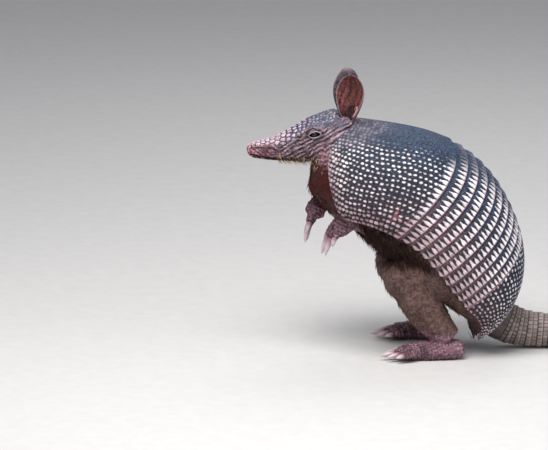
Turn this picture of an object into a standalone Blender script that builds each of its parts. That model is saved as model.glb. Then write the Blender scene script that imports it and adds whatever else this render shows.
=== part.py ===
"""Nine-banded armadillo reared up on its hind legs, a still model at life size.

The head looks towards -X, the animal's left side towards -Y and the floor is z = 0.
The trunk is one surface, measured along the back and down from the middle of the
back, and the flesh and every piece of the shell are read from it.
"""

import math
from functools import lru_cache

import bmesh
import bpy
import numpy as np
from mathutils import Vector

MM = 0.001
GAP = 0.4 * MM
LEFT, RIGHT = -1, 1
SIDES = {"left": LEFT, "right": RIGHT}

# Shell, with the front of its dorsal line placed above the feet
SHELL_THICK = 4.0 * MM
FLESH_DEPTH = 4.9 * MM
BACK_START = (-63 * MM, 236 * MM)
SHIELD_LENGTH = 93 * MM
BAND_COUNT = 9
BAND_LENGTH = 13.0 * MM
RUMP_NOTCH = 283 * MM
RUMP_LOBE = 26 * MM
FRONT_CORNER = 34 * MM
EDGE_COLUMNS = 7
SHIELD_ROWS = 7
SHOULDER_PLATES = 18
RUMP_PLATES = 14
PLATE_RISE = 1.5 * MM
PLATE_TOP = 0.70
HONEYCOMB = 0.2
BAND_WEDGES = 22
WEDGE_FRONT = 0.42
WEDGE_BASE = 0.76
WEDGE_VARIES = 0.14
BAND_TUCK = 2.1 * MM
RIM_TRIM = 0.5 * MM
TORSO_FRONT = -14 * MM
TORSO_REAR = 10.93
END_INSET = 1.0 * MM
BELLY_STEPS = (1.25, 1.5, 1.75)
SECTION_STEPS = 73
ROUNDNESS_ABOVE = 2.15
ROUNDNESS_BELOW = 2.9
BOW_STARTS = 0.18
LOBE_STARTS = 0.3
LOBE_DRAWN_IN = 0.7
ENVELOPE_REACH = 1.004

# Each row is distance along the back, its heading below level, the lean of the
# cross-section from upright, half width, depth, and depth of the shell's lower edge
BACK = np.array((
    (-24, 6, 29.5, 41, 80, 74),
    (0, 8, 31.5, 56, 99, 89),
    (25, 10, 32.5, 64, 113, 101),
    (60, 15, 34.0, 69, 124, 104),
    (100, 31, 35.5, 72, 134, 106),
    (160, 58, 38.0, 74, 131, 106),
    (206, 73, 41.0, 71, 113, 94),
    (247, 94, 46.0, 61, 84, 70),
    (290, 122, 54.0, 44, 58, 46),
    (330, 145, 62.0, 24, 36, 28),
))
# Distance along the back against how far the cross-lines bow rearwards on the flank
FLANK_BOW = np.array(((-24, 0), (0, -23), (93, 10), (210, 10), (330, 6)))

# Head, from the nose back: top and bottom of the section, then half width
HEAD = np.array((
    (-178.5, 211.0, -178.0, 203.0, 4.5),
    (-175.0, 213.0, -174.5, 199.5, 6.5),
    (-167.0, 215.5, -168.0, 198.0, 8.5),
    (-156.0, 218.5, -158.0, 196.5, 9.5),
    (-144.0, 223.5, -148.0, 195.5, 11.5),
    (-131.0, 230.7, -138.0, 195.0, 14.0),
    (-118.0, 237.8, -129.0, 194.5, 17.5),
    (-106.0, 242.3, -122.0, 194.5, 20.5),
    (-96.0, 245.6, -117.0, 195.0, 23.0),
    (-87.0, 246.4, -113.0, 196.0, 25.0),
))
HEAD_SQUARENESS = 2.3
NECK_LEAN = math.radians(33)
NECK_WAIST = 0.02
NECK_INSET = 0.03
NECK_STEPS = 4
EYE_AT = Vector((-113.0, 15.5, 226.5)) * MM
EYE_RADIUS = 4.6 * MM
LID_RADIUS = 6.1 * MM
LID_OPENING = (5.4, 9.0, 2.2)
LID_LONG = 1.12
LID_LOW = 0.96
MOUTH_PLACES = (0.9, 1.6, 2.6, 3.6, 4.6, 5.4)
MOUTH_HEIGHTS = (3.6, 3.4, 3.2, 3.2, 3.6, 4.6)
LIP_RADIUS = 1.7
MOUTH_RADIUS = 0.8
MOUTH_LIFT = 0.6
NOSTRIL_AT = Vector((-178.8, 2.3, 207.6)) * MM
NOSTRIL_RADIUS = 1.4 * MM
HEAD_PLATE_EDGE = 0.55 * MM
HEAD_PLATE_RISE = 0.7 * MM
SNOUT_PLATE_ROWS = range(2, 9)
CROWN_PLATE_ROWS = range(9, 17)
EAR_ROOT = Vector((-79.0, 17.0, 238.0)) * MM
EAR_HEIGHT = 47 * MM
EAR_WIDTH = 29 * MM
EAR_THICK = 1.5 * MM
EAR_FACING = (-0.42, 0.90, 0.0)
EAR_LEAN = (0.05, 0.12, 1.0)
EAR_STEPS = 7
EAR_COLUMNS = 7
EAR_ROOT_WIDTH = 0.40
EAR_WIDEST = 0.62
EAR_CLOSES = 0.60
EAR_CLOSE_OVER = 0.41
EAR_WRAP = (128, 66)
EAR_CUP_DEPTH = 0.72
EAR_LEAST_BORE = 0.35

# Limbs, as joints of the left side with +Y outwards, and the radius at each
FORE_LEGS = {
    "left": (((-62, 34, 168), 15), ((-66, 40, 148), 12), ((-80, 33, 139), 8.5)),
    "right": (((-78, 30, 178), 15), ((-90, 28, 164), 12), ((-103, 24, 149), 8.0)),
}
FORE_FEET = {
    "left": ((-80.5, 32, 138), (-93, 29, 130), (-103, 27, 113)),
    "right": ((-103, 24, 148), (-110, 23, 135), (-117, 22, 117)),
}
THIGH = (((58, 28, 92), 27), ((24, 27, 88), 34), ((-18, 35, 82), 26))
KNEE = ((-20, 35, 82), 26)
SHANK = (((-16, 36, 78), 24), ((-4, 40, 50), 20), ((20, 43.5, 20), 13))
HIND_HEEL = Vector((30.0, 44.0, 9.0)) * MM
HIND_TOES = Vector((-26.0, 48.0, 8.0)) * MM
PALM_RADII = (8.4, 9.5, 8.5)
PALM_SQUASH = 1.15
FINGER_SPREAD = 7.5 * MM
FINGER_ROOT = 5 * MM
FINGER_SPLAY = 0.28
FINGER_LENGTHS = (12 * MM, 15.5 * MM)
FINGER_RADII = (3.2, 4.2)
FINGER_SWELL = 0.8
SOLE = ((-0.06, 5.5), (0.0, 9.5), (0.4, 9.8), (0.8, 9.0), (1.0, 7.5))
SOLE_SQUASH = 1.35
TOE_SPREAD = 11.5 * MM
TOE_ROOT = 6 * MM
TOE_SETBACK = 4 * MM
TOE_SPLAY = 0.34
TOE_DROP = -0.06
TOE_LENGTH = 15 * MM
TOE_SHORTENS = 2 * MM
TOE_RADII = (3.5, 4.2)
TOE_SWELL = 0.6
TOE_MIDDLE = 0.6
CLAW_SIDES = 5
CLAW_STEPS = 4
CLAW_TIP = 0.3 * MM
FORE_CLAWS = (10, 19, 18, 9)
FORE_CLAW_DROOP = 0.18
FORE_CLAW_WIDTH = 0.82
HIND_CLAWS = (8, 13, 15, 13, 8)
HIND_CLAW_DROOP = 0.08
HIND_CLAW_WIDTH = 0.66

# Tail, as joints from the root to the tip and the radius at each
TAIL = (
    ((60, 0, 40), 21), ((80, 0, 27), 20.5), ((100, -1, 20), 18.5), ((130, -4, 17), 16.5),
    ((170, -12, 13.6), 13.8), ((215, -24, 10.6), 10.8), ((260, -38, 7.6), 7.8),
    ((305, -50, 4.9), 5.0), ((350, -57, 2.4), 2.4),
)
TAIL_SIDES = 11
TAIL_RINGS_FROM = 1.1
TAIL_RINGS_TO = 6.4
TAIL_RING_LENGTH = 0.42
TAIL_RING_SHORTENS = 0.965
TAIL_RIM_AT = 0.84
TAIL_RIM_RISE = 0.55
TAIL_TIP_LOOPS = 5
TAIL_CUT_RINGS = (4, 10)

COLLECTION = bpy.data.collections.new("armadillo")
COLOURS = {
    "shell": ((0.10, 0.10, 0.12), 0.55),
    "skin": ((0.16, 0.08, 0.07), 0.75),
    "head": ((0.34, 0.22, 0.21), 0.65),
    "ear": ((0.20, 0.11, 0.11), 0.70),
    "eye": ((0.01, 0.01, 0.012), 0.10),
    "foot": ((0.20, 0.12, 0.12), 0.75),
    "claw": ((0.52, 0.46, 0.46), 0.40),
    "tail": ((0.16, 0.14, 0.13), 0.60),
}


def clear_scene():
    for thing in list(bpy.data.objects):
        bpy.data.objects.remove(thing, do_unlink=True)


def make_material(name, colour, roughness):
    material = bpy.data.materials.new(name)
    material.use_nodes = True
    shader = material.node_tree.nodes["Principled BSDF"]
    shader.inputs["Base Color"].default_value = (*colour, 1)
    shader.inputs["Roughness"].default_value = roughness
    return material


def object_from(bm, name, finish):
    """A mesh object of the closed shape, with its faces outwards and a material of its own."""
    bmesh.ops.recalc_face_normals(bm, faces=bm.faces[:])
    mesh = bpy.data.meshes.new(name)
    bm.to_mesh(mesh)
    bm.free()
    mesh.materials.append(make_material(name, *COLOURS[finish]))
    made = bpy.data.objects.new(name, mesh)
    COLLECTION.objects.link(made)
    return made


def blend(table, at):
    """The table's columns at a place, on smooth curves through its rows."""
    places = table[:, 0]
    at = min(max(at, places[0]), places[-1])
    k = min(max(int(np.searchsorted(places, at)) - 1, 0), len(places) - 2)
    span = places[k + 1] - places[k]
    u = (at - places[k]) / span
    before, after = max(k - 1, 0), min(k + 2, len(places) - 1)
    slope_a = (table[k + 1] - table[before]) / (places[k + 1] - places[before])
    slope_b = (table[after] - table[k]) / (places[after] - places[k])
    h1 = 2 * u**3 - 3 * u**2 + 1
    h2 = u**3 - 2 * u**2 + u
    h3 = u**3 - u**2
    return h1 * table[k] + h2 * span * slope_a + (1 - h1) * table[k + 1] + h3 * span * slope_b


# The trunk's surface


@lru_cache(maxsize=None)
def back_points(step=1.0):
    """The dorsal line, read by following its heading from the front of the shell."""
    reach = np.arange(BACK[0, 0], BACK[-1, 0] + step, step)
    turn = np.radians([blend(BACK, r)[1] for r in reach])
    x = np.concatenate(([0], np.cumsum(np.cos(turn[:-1]) * step)))
    z = -np.concatenate(([0], np.cumsum(np.sin(turn[:-1]) * step)))
    start = int(-BACK[0, 0] / step)
    return reach, x - x[start] + BACK_START[0] / MM, z - z[start] + BACK_START[1] / MM


@lru_cache(maxsize=None)
def section(along):
    """One cross-section at a distance along the back: its top, lean and outline."""
    _, _, lean, half_width, depth, edge = blend(BACK, along)
    reach, x, z = back_points()
    turn = np.linspace(0, math.pi, SECTION_STEPS)
    crown = 0.5 * depth
    upper = turn <= math.pi / 2
    power = np.where(upper, 2 / ROUNDNESS_ABOVE, 2 / ROUNDNESS_BELOW)
    height = np.where(upper, crown, depth - crown)
    across = half_width * np.abs(np.sin(turn)) ** power
    down = crown - np.sign(np.cos(turn)) * height * np.abs(np.cos(turn)) ** power
    length = np.concatenate(([0], np.cumsum(np.hypot(np.diff(across), np.diff(down)))))
    edge_length = np.interp(edge, down, length)
    top = (np.interp(along, reach, x), np.interp(along, reach, z))
    return top, math.radians(lean), across, down, length, edge_length


def surface_point(along, across):
    """A point of the shell's outer surface: across is 0 on the back, 1 at the lower edge, 2 on the belly."""
    top, lean, width, down, length, edge = section(round(float(along) / MM, 3))
    share = abs(across)
    place = share * edge if share <= 1 else edge + (share - 1) * (length[-1] - edge)
    depth = np.interp(place, length, down)
    side = np.interp(place, length, width) * (1 if across >= 0 else -1)
    return Vector((top[0] - depth * math.sin(lean), side, top[1] - depth * math.cos(lean))) * MM


def bow(along, across):
    """How far a cross-line bows rearwards, none of it on the back or at the lower edge."""
    share = min(abs(across), 1.0)
    return blend(FLANK_BOW, along / MM)[1] * MM * math.sin(math.pi * share) * math.tanh(share / BOW_STARTS)


def trunk_point(along, across, lift):
    """A point at a height over the shell's outer surface, along the surface's own normal."""
    small, slight = 1.0 * MM, 0.01
    here = surface_point(along, across)
    ahead = surface_point(along + small, across) - surface_point(along - small, across)
    aside = surface_point(along, across + slight) - surface_point(along, across - slight)
    return here + ahead.cross(aside).normalized() * lift


def band_line(place):
    """Where a line between two shell pieces crosses the back: 0 is the front of the shield, 1 its rear."""
    if place <= 1:
        return place * SHIELD_LENGTH
    bands_end = SHIELD_LENGTH + BAND_COUNT * BAND_LENGTH
    if place <= 1 + BAND_COUNT:
        return SHIELD_LENGTH + (place - 1) * BAND_LENGTH
    return bands_end + (place - 1 - BAND_COUNT) * (RUMP_NOTCH - bands_end)


def line_at(place, across):
    """Distance along the back of a cross-line of the shell, out on the flank."""
    share = min(abs(across), 1.0)
    base = band_line(place)
    along = base + bow(base, across)
    if place < 1:
        along += (1 - place) ** 2 * FRONT_CORNER * share**6
    if place > 1 + BAND_COUNT:
        rear = place - 1 - BAND_COUNT
        lobe = RUMP_LOBE * (1 - math.exp(-((share / LOBE_STARTS) ** 2)))
        lobe -= LOBE_DRAWN_IN * RUMP_LOBE * share**8
        along += rear * lobe
    return along


# Solids


def loft(rings):
    """A closed solid through rings of as many points each, with a fan of faces over each end."""
    bm = bmesh.new()
    made = [[bm.verts.new(point) for point in ring] for ring in rings]
    count = len(rings[0])
    for ring, following in zip(made, made[1:]):
        for k in range(count):
            n = (k + 1) % count
            bm.faces.new((ring[k], ring[n], following[n], following[k]))
    for ring in (made[0][::-1], made[-1]):
        hub = bm.verts.new(sum((vert.co for vert in ring), Vector()) / count)
        for k in range(count):
            bm.faces.new((ring[k], ring[(k + 1) % count], hub))
    return bm


def stitch(bm, first, second):
    """Fills between two rows of places and vertices with triangles, whatever their counts."""
    i = j = 0
    while i < len(first) - 1 or j < len(second) - 1:
        next_first = first[i + 1][0] if i < len(first) - 1 else math.inf
        next_second = second[j + 1][0] if j < len(second) - 1 else math.inf
        if next_first <= next_second:
            bm.faces.new((first[i][1], first[i + 1][1], second[j][1]))
            i += 1
        else:
            bm.faces.new((first[i][1], second[j + 1][1], second[j][1]))
            j += 1


def shell_row(bm, place, columns, lift, trim=0.0):
    """Vertices along one cross-line of the shell, each with its place down the flank."""
    return [(c, bm.verts.new(trunk_point(line_at(place, c) + trim, c, lift))) for c in columns]


def inner_columns():
    return [k / EDGE_COLUMNS for k in range(-EDGE_COLUMNS, EDGE_COLUMNS + 1)]


def close_shell(bm, places, trims, outer_rows, outer_places, inner_lift=-SHELL_THICK):
    """Adds the inner surface on the given cross-lines, and the walls up to the outer rows."""
    rows = [shell_row(bm, place, inner_columns(), inner_lift, trim) for place, trim in zip(places, trims)]
    for row, following in zip(rows, rows[1:]):
        stitch(bm, row, following)
    stitch(bm, outer_rows[0], rows[0])
    stitch(bm, outer_rows[-1], rows[-1])
    for end in (0, -1):
        outer_edge = [(place, row[end][1]) for place, row in zip(outer_places, outer_rows)]
        inner_edge = [(place, row[end][1]) for place, row in zip(places, rows)]
        stitch(bm, outer_edge, inner_edge)


def raised_plate(bm, corners):
    """A plate of the shell over the corners, each a vertex with its place and its share across."""
    middle = np.mean([corner[1:] for corner in corners], axis=0)
    top = []
    for _, place, across in corners:
        at, c = middle + (np.array((place, across)) - middle) * PLATE_TOP
        top.append(bm.verts.new(trunk_point(line_at(at, c), c, 0)))
    for k in range(len(corners)):
        n = (k + 1) % len(corners)
        bm.faces.new((corners[k][0], corners[n][0], top[n], top[k]))
    bm.faces.new(top)


def make_shield(name, front, plates):
    """A shield of raised plates, set like a honeycomb in rows across the back."""
    bm = bmesh.new()
    last = 2 * plates
    places = [front + i / SHIELD_ROWS for i in range(SHIELD_ROWS + 1)]
    trims = [GAP / 2] + [0] * (SHIELD_ROWS - 1) + [-GAP / 2]
    lines, rows = [], []
    for i, place in enumerate(places):
        line = []
        for j in range(last + 1):
            bend = 0 if i in (0, SHIELD_ROWS) or j in (0, last) else HONEYCOMB / SHIELD_ROWS
            at, c = place + (bend if j % 2 == i % 2 else -bend), j / plates - 1
            point = trunk_point(line_at(at, c) + trims[i], c, -PLATE_RISE)
            line.append((bm.verts.new(point), at, c))
        lines.append(line)
        rows.append([(c, vert) for vert, _, c in line])
    for i in range(SHIELD_ROWS):
        bounds = [j for j in range(last + 1) if j % 2 == i % 2 or j in (0, last)]
        for start, end in zip(bounds, bounds[1:]):
            corners = lines[i][start:end + 1] + lines[i + 1][start:end + 1][::-1]
            raised_plate(bm, corners)
    close_shell(bm, places, trims, rows, places)
    return object_from(bm, name, "shell")


def make_band(name, band):
    """One band: a front strip that tucks under the piece before it, and a rear row of raised wedges."""
    bm = bmesh.new()
    draw = np.random.default_rng(band)
    cell = 2 / BAND_WEDGES
    tips = [-1] + [-1 + (k + 0.5) * cell for k in range(BAND_WEDGES)] + [1]
    front = shell_row(bm, band, inner_columns(), -BAND_TUCK, GAP / 2)
    middle = shell_row(bm, band + WEDGE_FRONT, tips, -PLATE_RISE)
    stitch(bm, front, middle)
    rear = shell_row(bm, band + 1, [-1], -PLATE_RISE, -RIM_TRIM)
    for k in range(BAND_WEDGES):
        centre = tips[k + 1]
        half = cell * WEDGE_BASE / 2 * (1 + WEDGE_VARIES * draw.uniform(-1, 1))
        base = shell_row(bm, band + 1, [centre - half, centre + half], 0, -RIM_TRIM)
        low = shell_row(bm, band + 1, [centre + cell / 2], -PLATE_RISE, -RIM_TRIM)
        tip = middle[k + 1][1]
        bm.faces.new((tip, rear[-1][1], base[0][1]))
        bm.faces.new((tip, base[0][1], base[1][1]))
        bm.faces.new((tip, base[1][1], low[0][1]))
        bm.faces.new((middle[k][1], rear[-1][1], tip))
        rear += base + low
    bm.faces.new((middle[-2][1], rear[-1][1], middle[-1][1]))
    close_shell(bm, (band, band + 1), (GAP / 2, -RIM_TRIM), [front, middle, rear],
                (band, band + WEDGE_FRONT, band + 1))
    return object_from(bm, name, "shell")


def make_shell():
    make_shield("shell_scapular", 0, SHOULDER_PLATES)
    for band in range(1, BAND_COUNT + 1):
        make_band(f"shell_band_{band}", band)
    make_shield("shell_pelvic", 1 + BAND_COUNT, RUMP_PLATES)


def rump_cutter():
    """The rump shield without its plates, a little grown on every side."""
    bm = bmesh.new()
    places = [1 + BAND_COUNT + i / SHIELD_ROWS for i in range(SHIELD_ROWS + 1)]
    trims = [-GAP] + [0] * (SHIELD_ROWS - 1) + [GAP]
    columns = np.linspace(-1, 1, 2 * RUMP_PLATES + 1)
    rows = [shell_row(bm, place, columns, 1.5 * GAP, trim) for place, trim in zip(places, trims)]
    for row, following in zip(rows, rows[1:]):
        stitch(bm, row, following)
    close_shell(bm, places, trims, rows, places, -SHELL_THICK - GAP)
    return object_from(bm, "rump_cutter", "shell")


def ring_shares():
    """Places round a cross-section, from the back down the right flank and up the left."""
    down = [k / EDGE_COLUMNS for k in range(EDGE_COLUMNS + 1)] + list(BELLY_STEPS)
    return down + [2.0] + [-share for share in down[:0:-1]]


def torso_front_ring(lift):
    return [trunk_point(TORSO_FRONT, share, lift - END_INSET) for share in ring_shares()]


def torso_rings(lift):
    """Rings of the flesh under the shell, on cross-lines that the shell's pieces share."""
    shield = [k / SHIELD_ROWS for k in range(1, SHIELD_ROWS + 1)]
    bands = list(range(3, BAND_COUNT + 1, 2)) + [1 + BAND_COUNT]
    rump = [1 + BAND_COUNT + k / SHIELD_ROWS for k in range(1, SHIELD_ROWS)] + [TORSO_REAR]
    rings = [torso_front_ring(lift)]
    for place in shield + bands + rump:
        inset = END_INSET if place == TORSO_REAR else 0
        rings.append([trunk_point(line_at(place, share), share, lift - inset) for share in ring_shares()])
    return rings


def torso_solid(name, grown=0.0):
    return object_from(loft(torso_rings(grown - FLESH_DEPTH)), name, "skin")


def envelope_solid(name):
    """All that the shell and what lies within it fill, a little grown, closed level at the lower edges."""
    places = [k / SHIELD_ROWS for k in range(SHIELD_ROWS)] + [1 + k for k in range(BAND_COUNT + 1)]
    places += [1 + BAND_COUNT + k / SHIELD_ROWS for k in range(1, SHIELD_ROWS + 1)]
    columns = np.linspace(-1, 1, 2 * BAND_WEDGES + 1)
    rings = [[trunk_point(line_at(place, c), c * ENVELOPE_REACH, 1.5 * GAP) for c in columns] for place in places]
    return object_from(loft(rings), name, "skin")


# Head and neck


def head_section(place):
    """The middle, the half height and the half width of the head at a place along its rows."""
    station = np.column_stack((np.arange(len(HEAD)), HEAD))
    _, top_x, top_z, low_x, low_z, half_width = blend(station, place)
    top, low = Vector((top_x, 0, top_z)) * MM, Vector((low_x, 0, low_z)) * MM
    return (top + low) / 2, (top - low) / 2, half_width * MM


def head_rings(count):
    """Rings of the head from the nose back, each from its top down the right side and up the left."""
    power = 2 / HEAD_SQUARENESS
    rings = []
    for place in np.linspace(0, len(HEAD) - 1, 2 * len(HEAD) - 1):
        centre, half, half_width = head_section(place)
        ring = []
        for k in range(count):
            turn = 2 * math.pi * k / count
            up = math.copysign(abs(math.cos(turn)) ** power, math.cos(turn))
            out = math.copysign(abs(math.sin(turn)) ** power, math.sin(turn))
            ring.append(centre + half * up + Vector((0, half_width * out, 0)))
        rings.append(ring)
    return rings


def plated_head(rings):
    """The head with plates raised on the snout, the brow and the crown."""
    bm = loft(rings)
    count = len(rings[0])
    bm.faces.ensure_lookup_table()
    plates = []
    for rows, reach in ((SNOUT_PLATE_ROWS, 5), (CROWN_PLATE_ROWS, 4)):
        for row in rows:
            columns = list(range(reach)) + list(range(count - reach, count))
            plates += [bm.faces[row * count + k] for k in columns]
    bmesh.ops.recalc_face_normals(bm, faces=bm.faces[:])
    bmesh.ops.inset_individual(bm, faces=plates, thickness=HEAD_PLATE_EDGE, depth=HEAD_PLATE_RISE,
                               use_even_offset=True)
    return object_from(bm, "head", "head")


def make_head_and_neck():
    count = len(ring_shares())
    rings = head_rings(count)
    head = plated_head(rings)
    root = torso_front_ring(-FLESH_DEPTH)
    back = Vector((math.cos(NECK_LEAN), 0, -math.sin(NECK_LEAN))) * GAP
    neck = []
    for k in range(NECK_STEPS + 1):
        share = k / NECK_STEPS
        inset = back * ((1 - share) - share)
        ring = [a.lerp(b, share) + inset for a, b in zip(rings[-1], root)]
        middle = sum(ring, Vector()) / len(ring)
        waist = 1 - NECK_WAIST * math.sin(math.pi * share) - NECK_INSET * share
        neck.append([middle + (point - middle) * waist for point in ring])
    return head, object_from(loft(neck), "neck", "skin")


def boolean(base, other, how, solver="EXACT"):
    """Joins or cuts the object by another object, or by every object of a collection."""
    change = base.modifiers.new(how, "BOOLEAN")
    change.operation, change.solver = how, solver
    if isinstance(other, bpy.types.Collection):
        change.operand_type, change.collection = "COLLECTION", other
    else:
        change.object = other
    mesh = bpy.data.meshes.new_from_object(base.evaluated_get(bpy.context.evaluated_depsgraph_get()))
    base.modifiers.remove(change)
    plain, name = base.data, base.data.name
    base.data = mesh
    bpy.data.meshes.remove(plain)
    mesh.name = name


def discard(*things):
    for thing in things:
        bpy.data.objects.remove(thing, do_unlink=True)


def keep_largest(thing):
    """Leaves only the largest closed surface of the object."""
    bm = bmesh.new()
    bm.from_mesh(thing.data)
    left, shells = set(bm.faces), []
    while left:
        group, edge = set(), [left.pop()]
        while edge:
            face = edge.pop()
            group.add(face)
            for other in {f for e in face.edges for f in e.link_faces} & left:
                left.discard(other)
                edge.append(other)
        shells.append(group)
    shells.sort(key=lambda group: sum(face.calc_area() for face in group))
    for group in shells[:-1]:
        bmesh.ops.delete(bm, geom=list(group), context="FACES")
    bm.to_mesh(thing.data)
    bm.free()


def grown_copy(thing):
    """A cutter a touch larger than the object all round."""
    copy = bpy.data.objects.new("cutter", thing.data.copy())
    for vertex, original in zip(copy.data.vertices, thing.data.vertices):
        vertex.co = original.co + original.normal * GAP
    COLLECTION.objects.link(copy)
    return copy


def clear_of(thing, *others, solver="EXACT"):
    """Cuts the object back to a small gap from each of the others."""
    for other in others:
        cutter = grown_copy(other)
        boolean(thing, cutter, "DIFFERENCE", solver)
        discard(cutter)
    keep_largest(thing)


def ball(centre, radius, name, segments=12, rings=8):
    bm = bmesh.new()
    bmesh.ops.create_uvsphere(bm, u_segments=segments, v_segments=rings, radius=radius)
    bmesh.ops.translate(bm, verts=bm.verts, vec=centre)
    return object_from(bm, name, "eye")


def mirrored(vector, side):
    return Vector((vector.x, vector.y * side, vector.z))


def scaled_ball(centre, sizes, name, segments, rings):
    """A ball stretched to a radius along each axis."""
    thing = ball(Vector(), 1.0, name, segments, rings)
    for vertex in thing.data.vertices:
        vertex.co = centre + Vector(c * size for c, size in zip(vertex.co, sizes))
    return thing


def make_eyes(head):
    """Eyeballs in sockets, under lids that leave an almond open."""
    for word, side in SIDES.items():
        centre = mirrored(EYE_AT, side)
        lid = scaled_ball(centre, (LID_LONG * LID_RADIUS, LID_RADIUS, LID_LOW * LID_RADIUS), "lid", 14, 10)
        union(head, [lid])
        socket = ball(centre, EYE_RADIUS + GAP, "socket", 12, 8)
        outwards = centre + Vector((0, side * LID_OPENING[1] * MM, 0))
        opening = scaled_ball(outwards, Vector(LID_OPENING) * MM, "opening", 10, 8)
        for cutter in (socket, opening):
            boolean(head, cutter, "DIFFERENCE")
            discard(cutter)
        ball(centre, EYE_RADIUS, f"eye_{word}", 10, 7)
    keep_largest(head)


def make_mouth(head):
    """Lips raised along each side of the mouth, the line between them, and the nostrils."""
    for side in SIDES.values():
        lips, line = [], []
        for place, height in zip(MOUTH_PLACES, MOUTH_HEIGHTS):
            centre, half, half_width = head_section(place)
            up = height * MM / half.length - 1
            out = (1 - abs(up) ** HEAD_SQUARENESS) ** (1 / HEAD_SQUARENESS)
            point = centre + half * up + Vector((0, side * half_width * out, 0))
            inwards = (point - centre).normalized() * MM
            lips.append((tuple((point - inwards) / MM), LIP_RADIUS))
            line.append((tuple((point + inwards * MOUTH_LIFT) / MM), MOUTH_RADIUS))
        union(head, [object_from(loft(sweep(lips, 6, steps=1)), "lips", "head")])
        nostril = ball(mirrored(NOSTRIL_AT, side), NOSTRIL_RADIUS, "nostril", 8, 6)
        for cutter in (object_from(loft(sweep(line, 4, steps=1)), "line", "head"), nostril):
            boolean(head, cutter, "DIFFERENCE")
            discard(cutter)
    keep_largest(head)


def ear_rings(side):
    """The cup of an ear, rolled into a tube at its root and open above, facing out and a little forward."""
    up = mirrored(Vector(EAR_LEAN), side).normalized()
    facing = mirrored(Vector(EAR_FACING), side).normalized()
    facing = (facing - up * facing.dot(up)).normalized()
    aside = up.cross(facing)
    root = mirrored(EAR_ROOT, side)
    rings = []
    for k in range(EAR_STEPS + 1):
        share = k / EAR_STEPS
        swell = math.sin(math.pi / 2 * min(share / EAR_WIDEST, 1))
        half = EAR_WIDTH / 2 * (EAR_ROOT_WIDTH + (1 - EAR_ROOT_WIDTH) * swell)
        half *= math.sqrt(max(1 - (max(share - EAR_CLOSES, 0) / EAR_CLOSE_OVER) ** 2, 0.02))
        wrap = math.radians(EAR_WRAP[0] + (EAR_WRAP[1] - EAR_WRAP[0]) * share)
        outer, inner = [], []
        for j in range(EAR_COLUMNS + 1):
            turn = wrap * (2 * j / EAR_COLUMNS - 1)
            way = aside * math.sin(turn) - facing * math.cos(turn) * EAR_CUP_DEPTH
            base = root + up * EAR_HEIGHT * share
            outer.append(base + way * half)
            inner.append(base + way * max(half - EAR_THICK, EAR_LEAST_BORE * half))
        rings.append(outer + inner[::-1])
    return rings


def make_ears(head, neck):
    for word, side in SIDES.items():
        ear = object_from(loft(ear_rings(side)), f"ear_{word}", "ear")
        clear_of(ear, head, neck)


# Limbs


def sweep(joints, sides, floor=None, squash=1.0, steps=3):
    """A round limb through joints, each a place and a radius, with flats where it meets the floor."""
    table = np.array([(k, *place, radius) for k, (place, radius) in enumerate(joints)], float)
    count = (len(joints) - 1) * steps
    path = [blend(table, k / steps) for k in range(count + 1)]
    points = [Vector(row[1:4]) * MM for row in path]
    rings = []
    for k, row in enumerate(path):
        ahead = (points[min(k + 1, count)] - points[max(k - 1, 0)]).normalized()
        aside = ahead.cross(Vector((0, 0, 1)) if abs(ahead.z) < 0.9 else Vector((1, 0, 0))).normalized()
        up = aside.cross(ahead)
        ring = []
        for j in range(sides):
            turn = 2 * math.pi * (j + 0.5) / sides
            point = points[k] + (aside * math.cos(turn) * squash + up * math.sin(turn)) * row[4] * MM
            if floor is not None:
                point.z = max(point.z, floor)
            ring.append(point)
        rings.append(ring)
    return rings


def placed(joints, side):
    return [((x, y * side, z), radius) for (x, y, z), radius in joints]


def toe(start, end, radius, swell, floor=None):
    """A finger or toe, thicker at its root by the swell."""
    joints = ((start, radius + swell), (start.lerp(end, TOE_MIDDLE), radius + TOE_MIDDLE * swell), (end, radius))
    rings = sweep([(tuple(at / MM), size) for at, size in joints], 8, floor=floor, steps=2)
    return object_from(loft(rings), "toe", "foot")


def claw(name, root, way, length, droop, width):
    """A curved, tapered claw with its root face across the end of its toe."""
    aside = way.cross(Vector((0, 0, 1))).normalized()
    up = aside.cross(way)
    rings = []
    for k in range(CLAW_STEPS + 1):
        share = k / CLAW_STEPS
        radius = width * (1 - share) ** 0.7 + CLAW_TIP
        centre = root + way * length * share - up * droop * share**2
        rings.append([
            centre + aside * math.cos(math.pi * (2 * j + 1) / CLAW_SIDES) * radius
            + up * math.sin(math.pi * (2 * j + 1) / CLAW_SIDES) * radius for j in range(CLAW_SIDES)])
    return object_from(loft(rings), name, "claw")


def union(base, pieces, solver="EXACT"):
    """Fuses the pieces onto the object and leaves one closed surface."""
    group = bpy.data.collections.new("pieces")
    for piece in pieces:
        COLLECTION.objects.unlink(piece)
        group.objects.link(piece)
    bpy.context.scene.collection.children.link(group)
    boolean(base, group, "UNION", solver)
    discard(*pieces)
    bpy.data.collections.remove(group)
    keep_largest(base)


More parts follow.
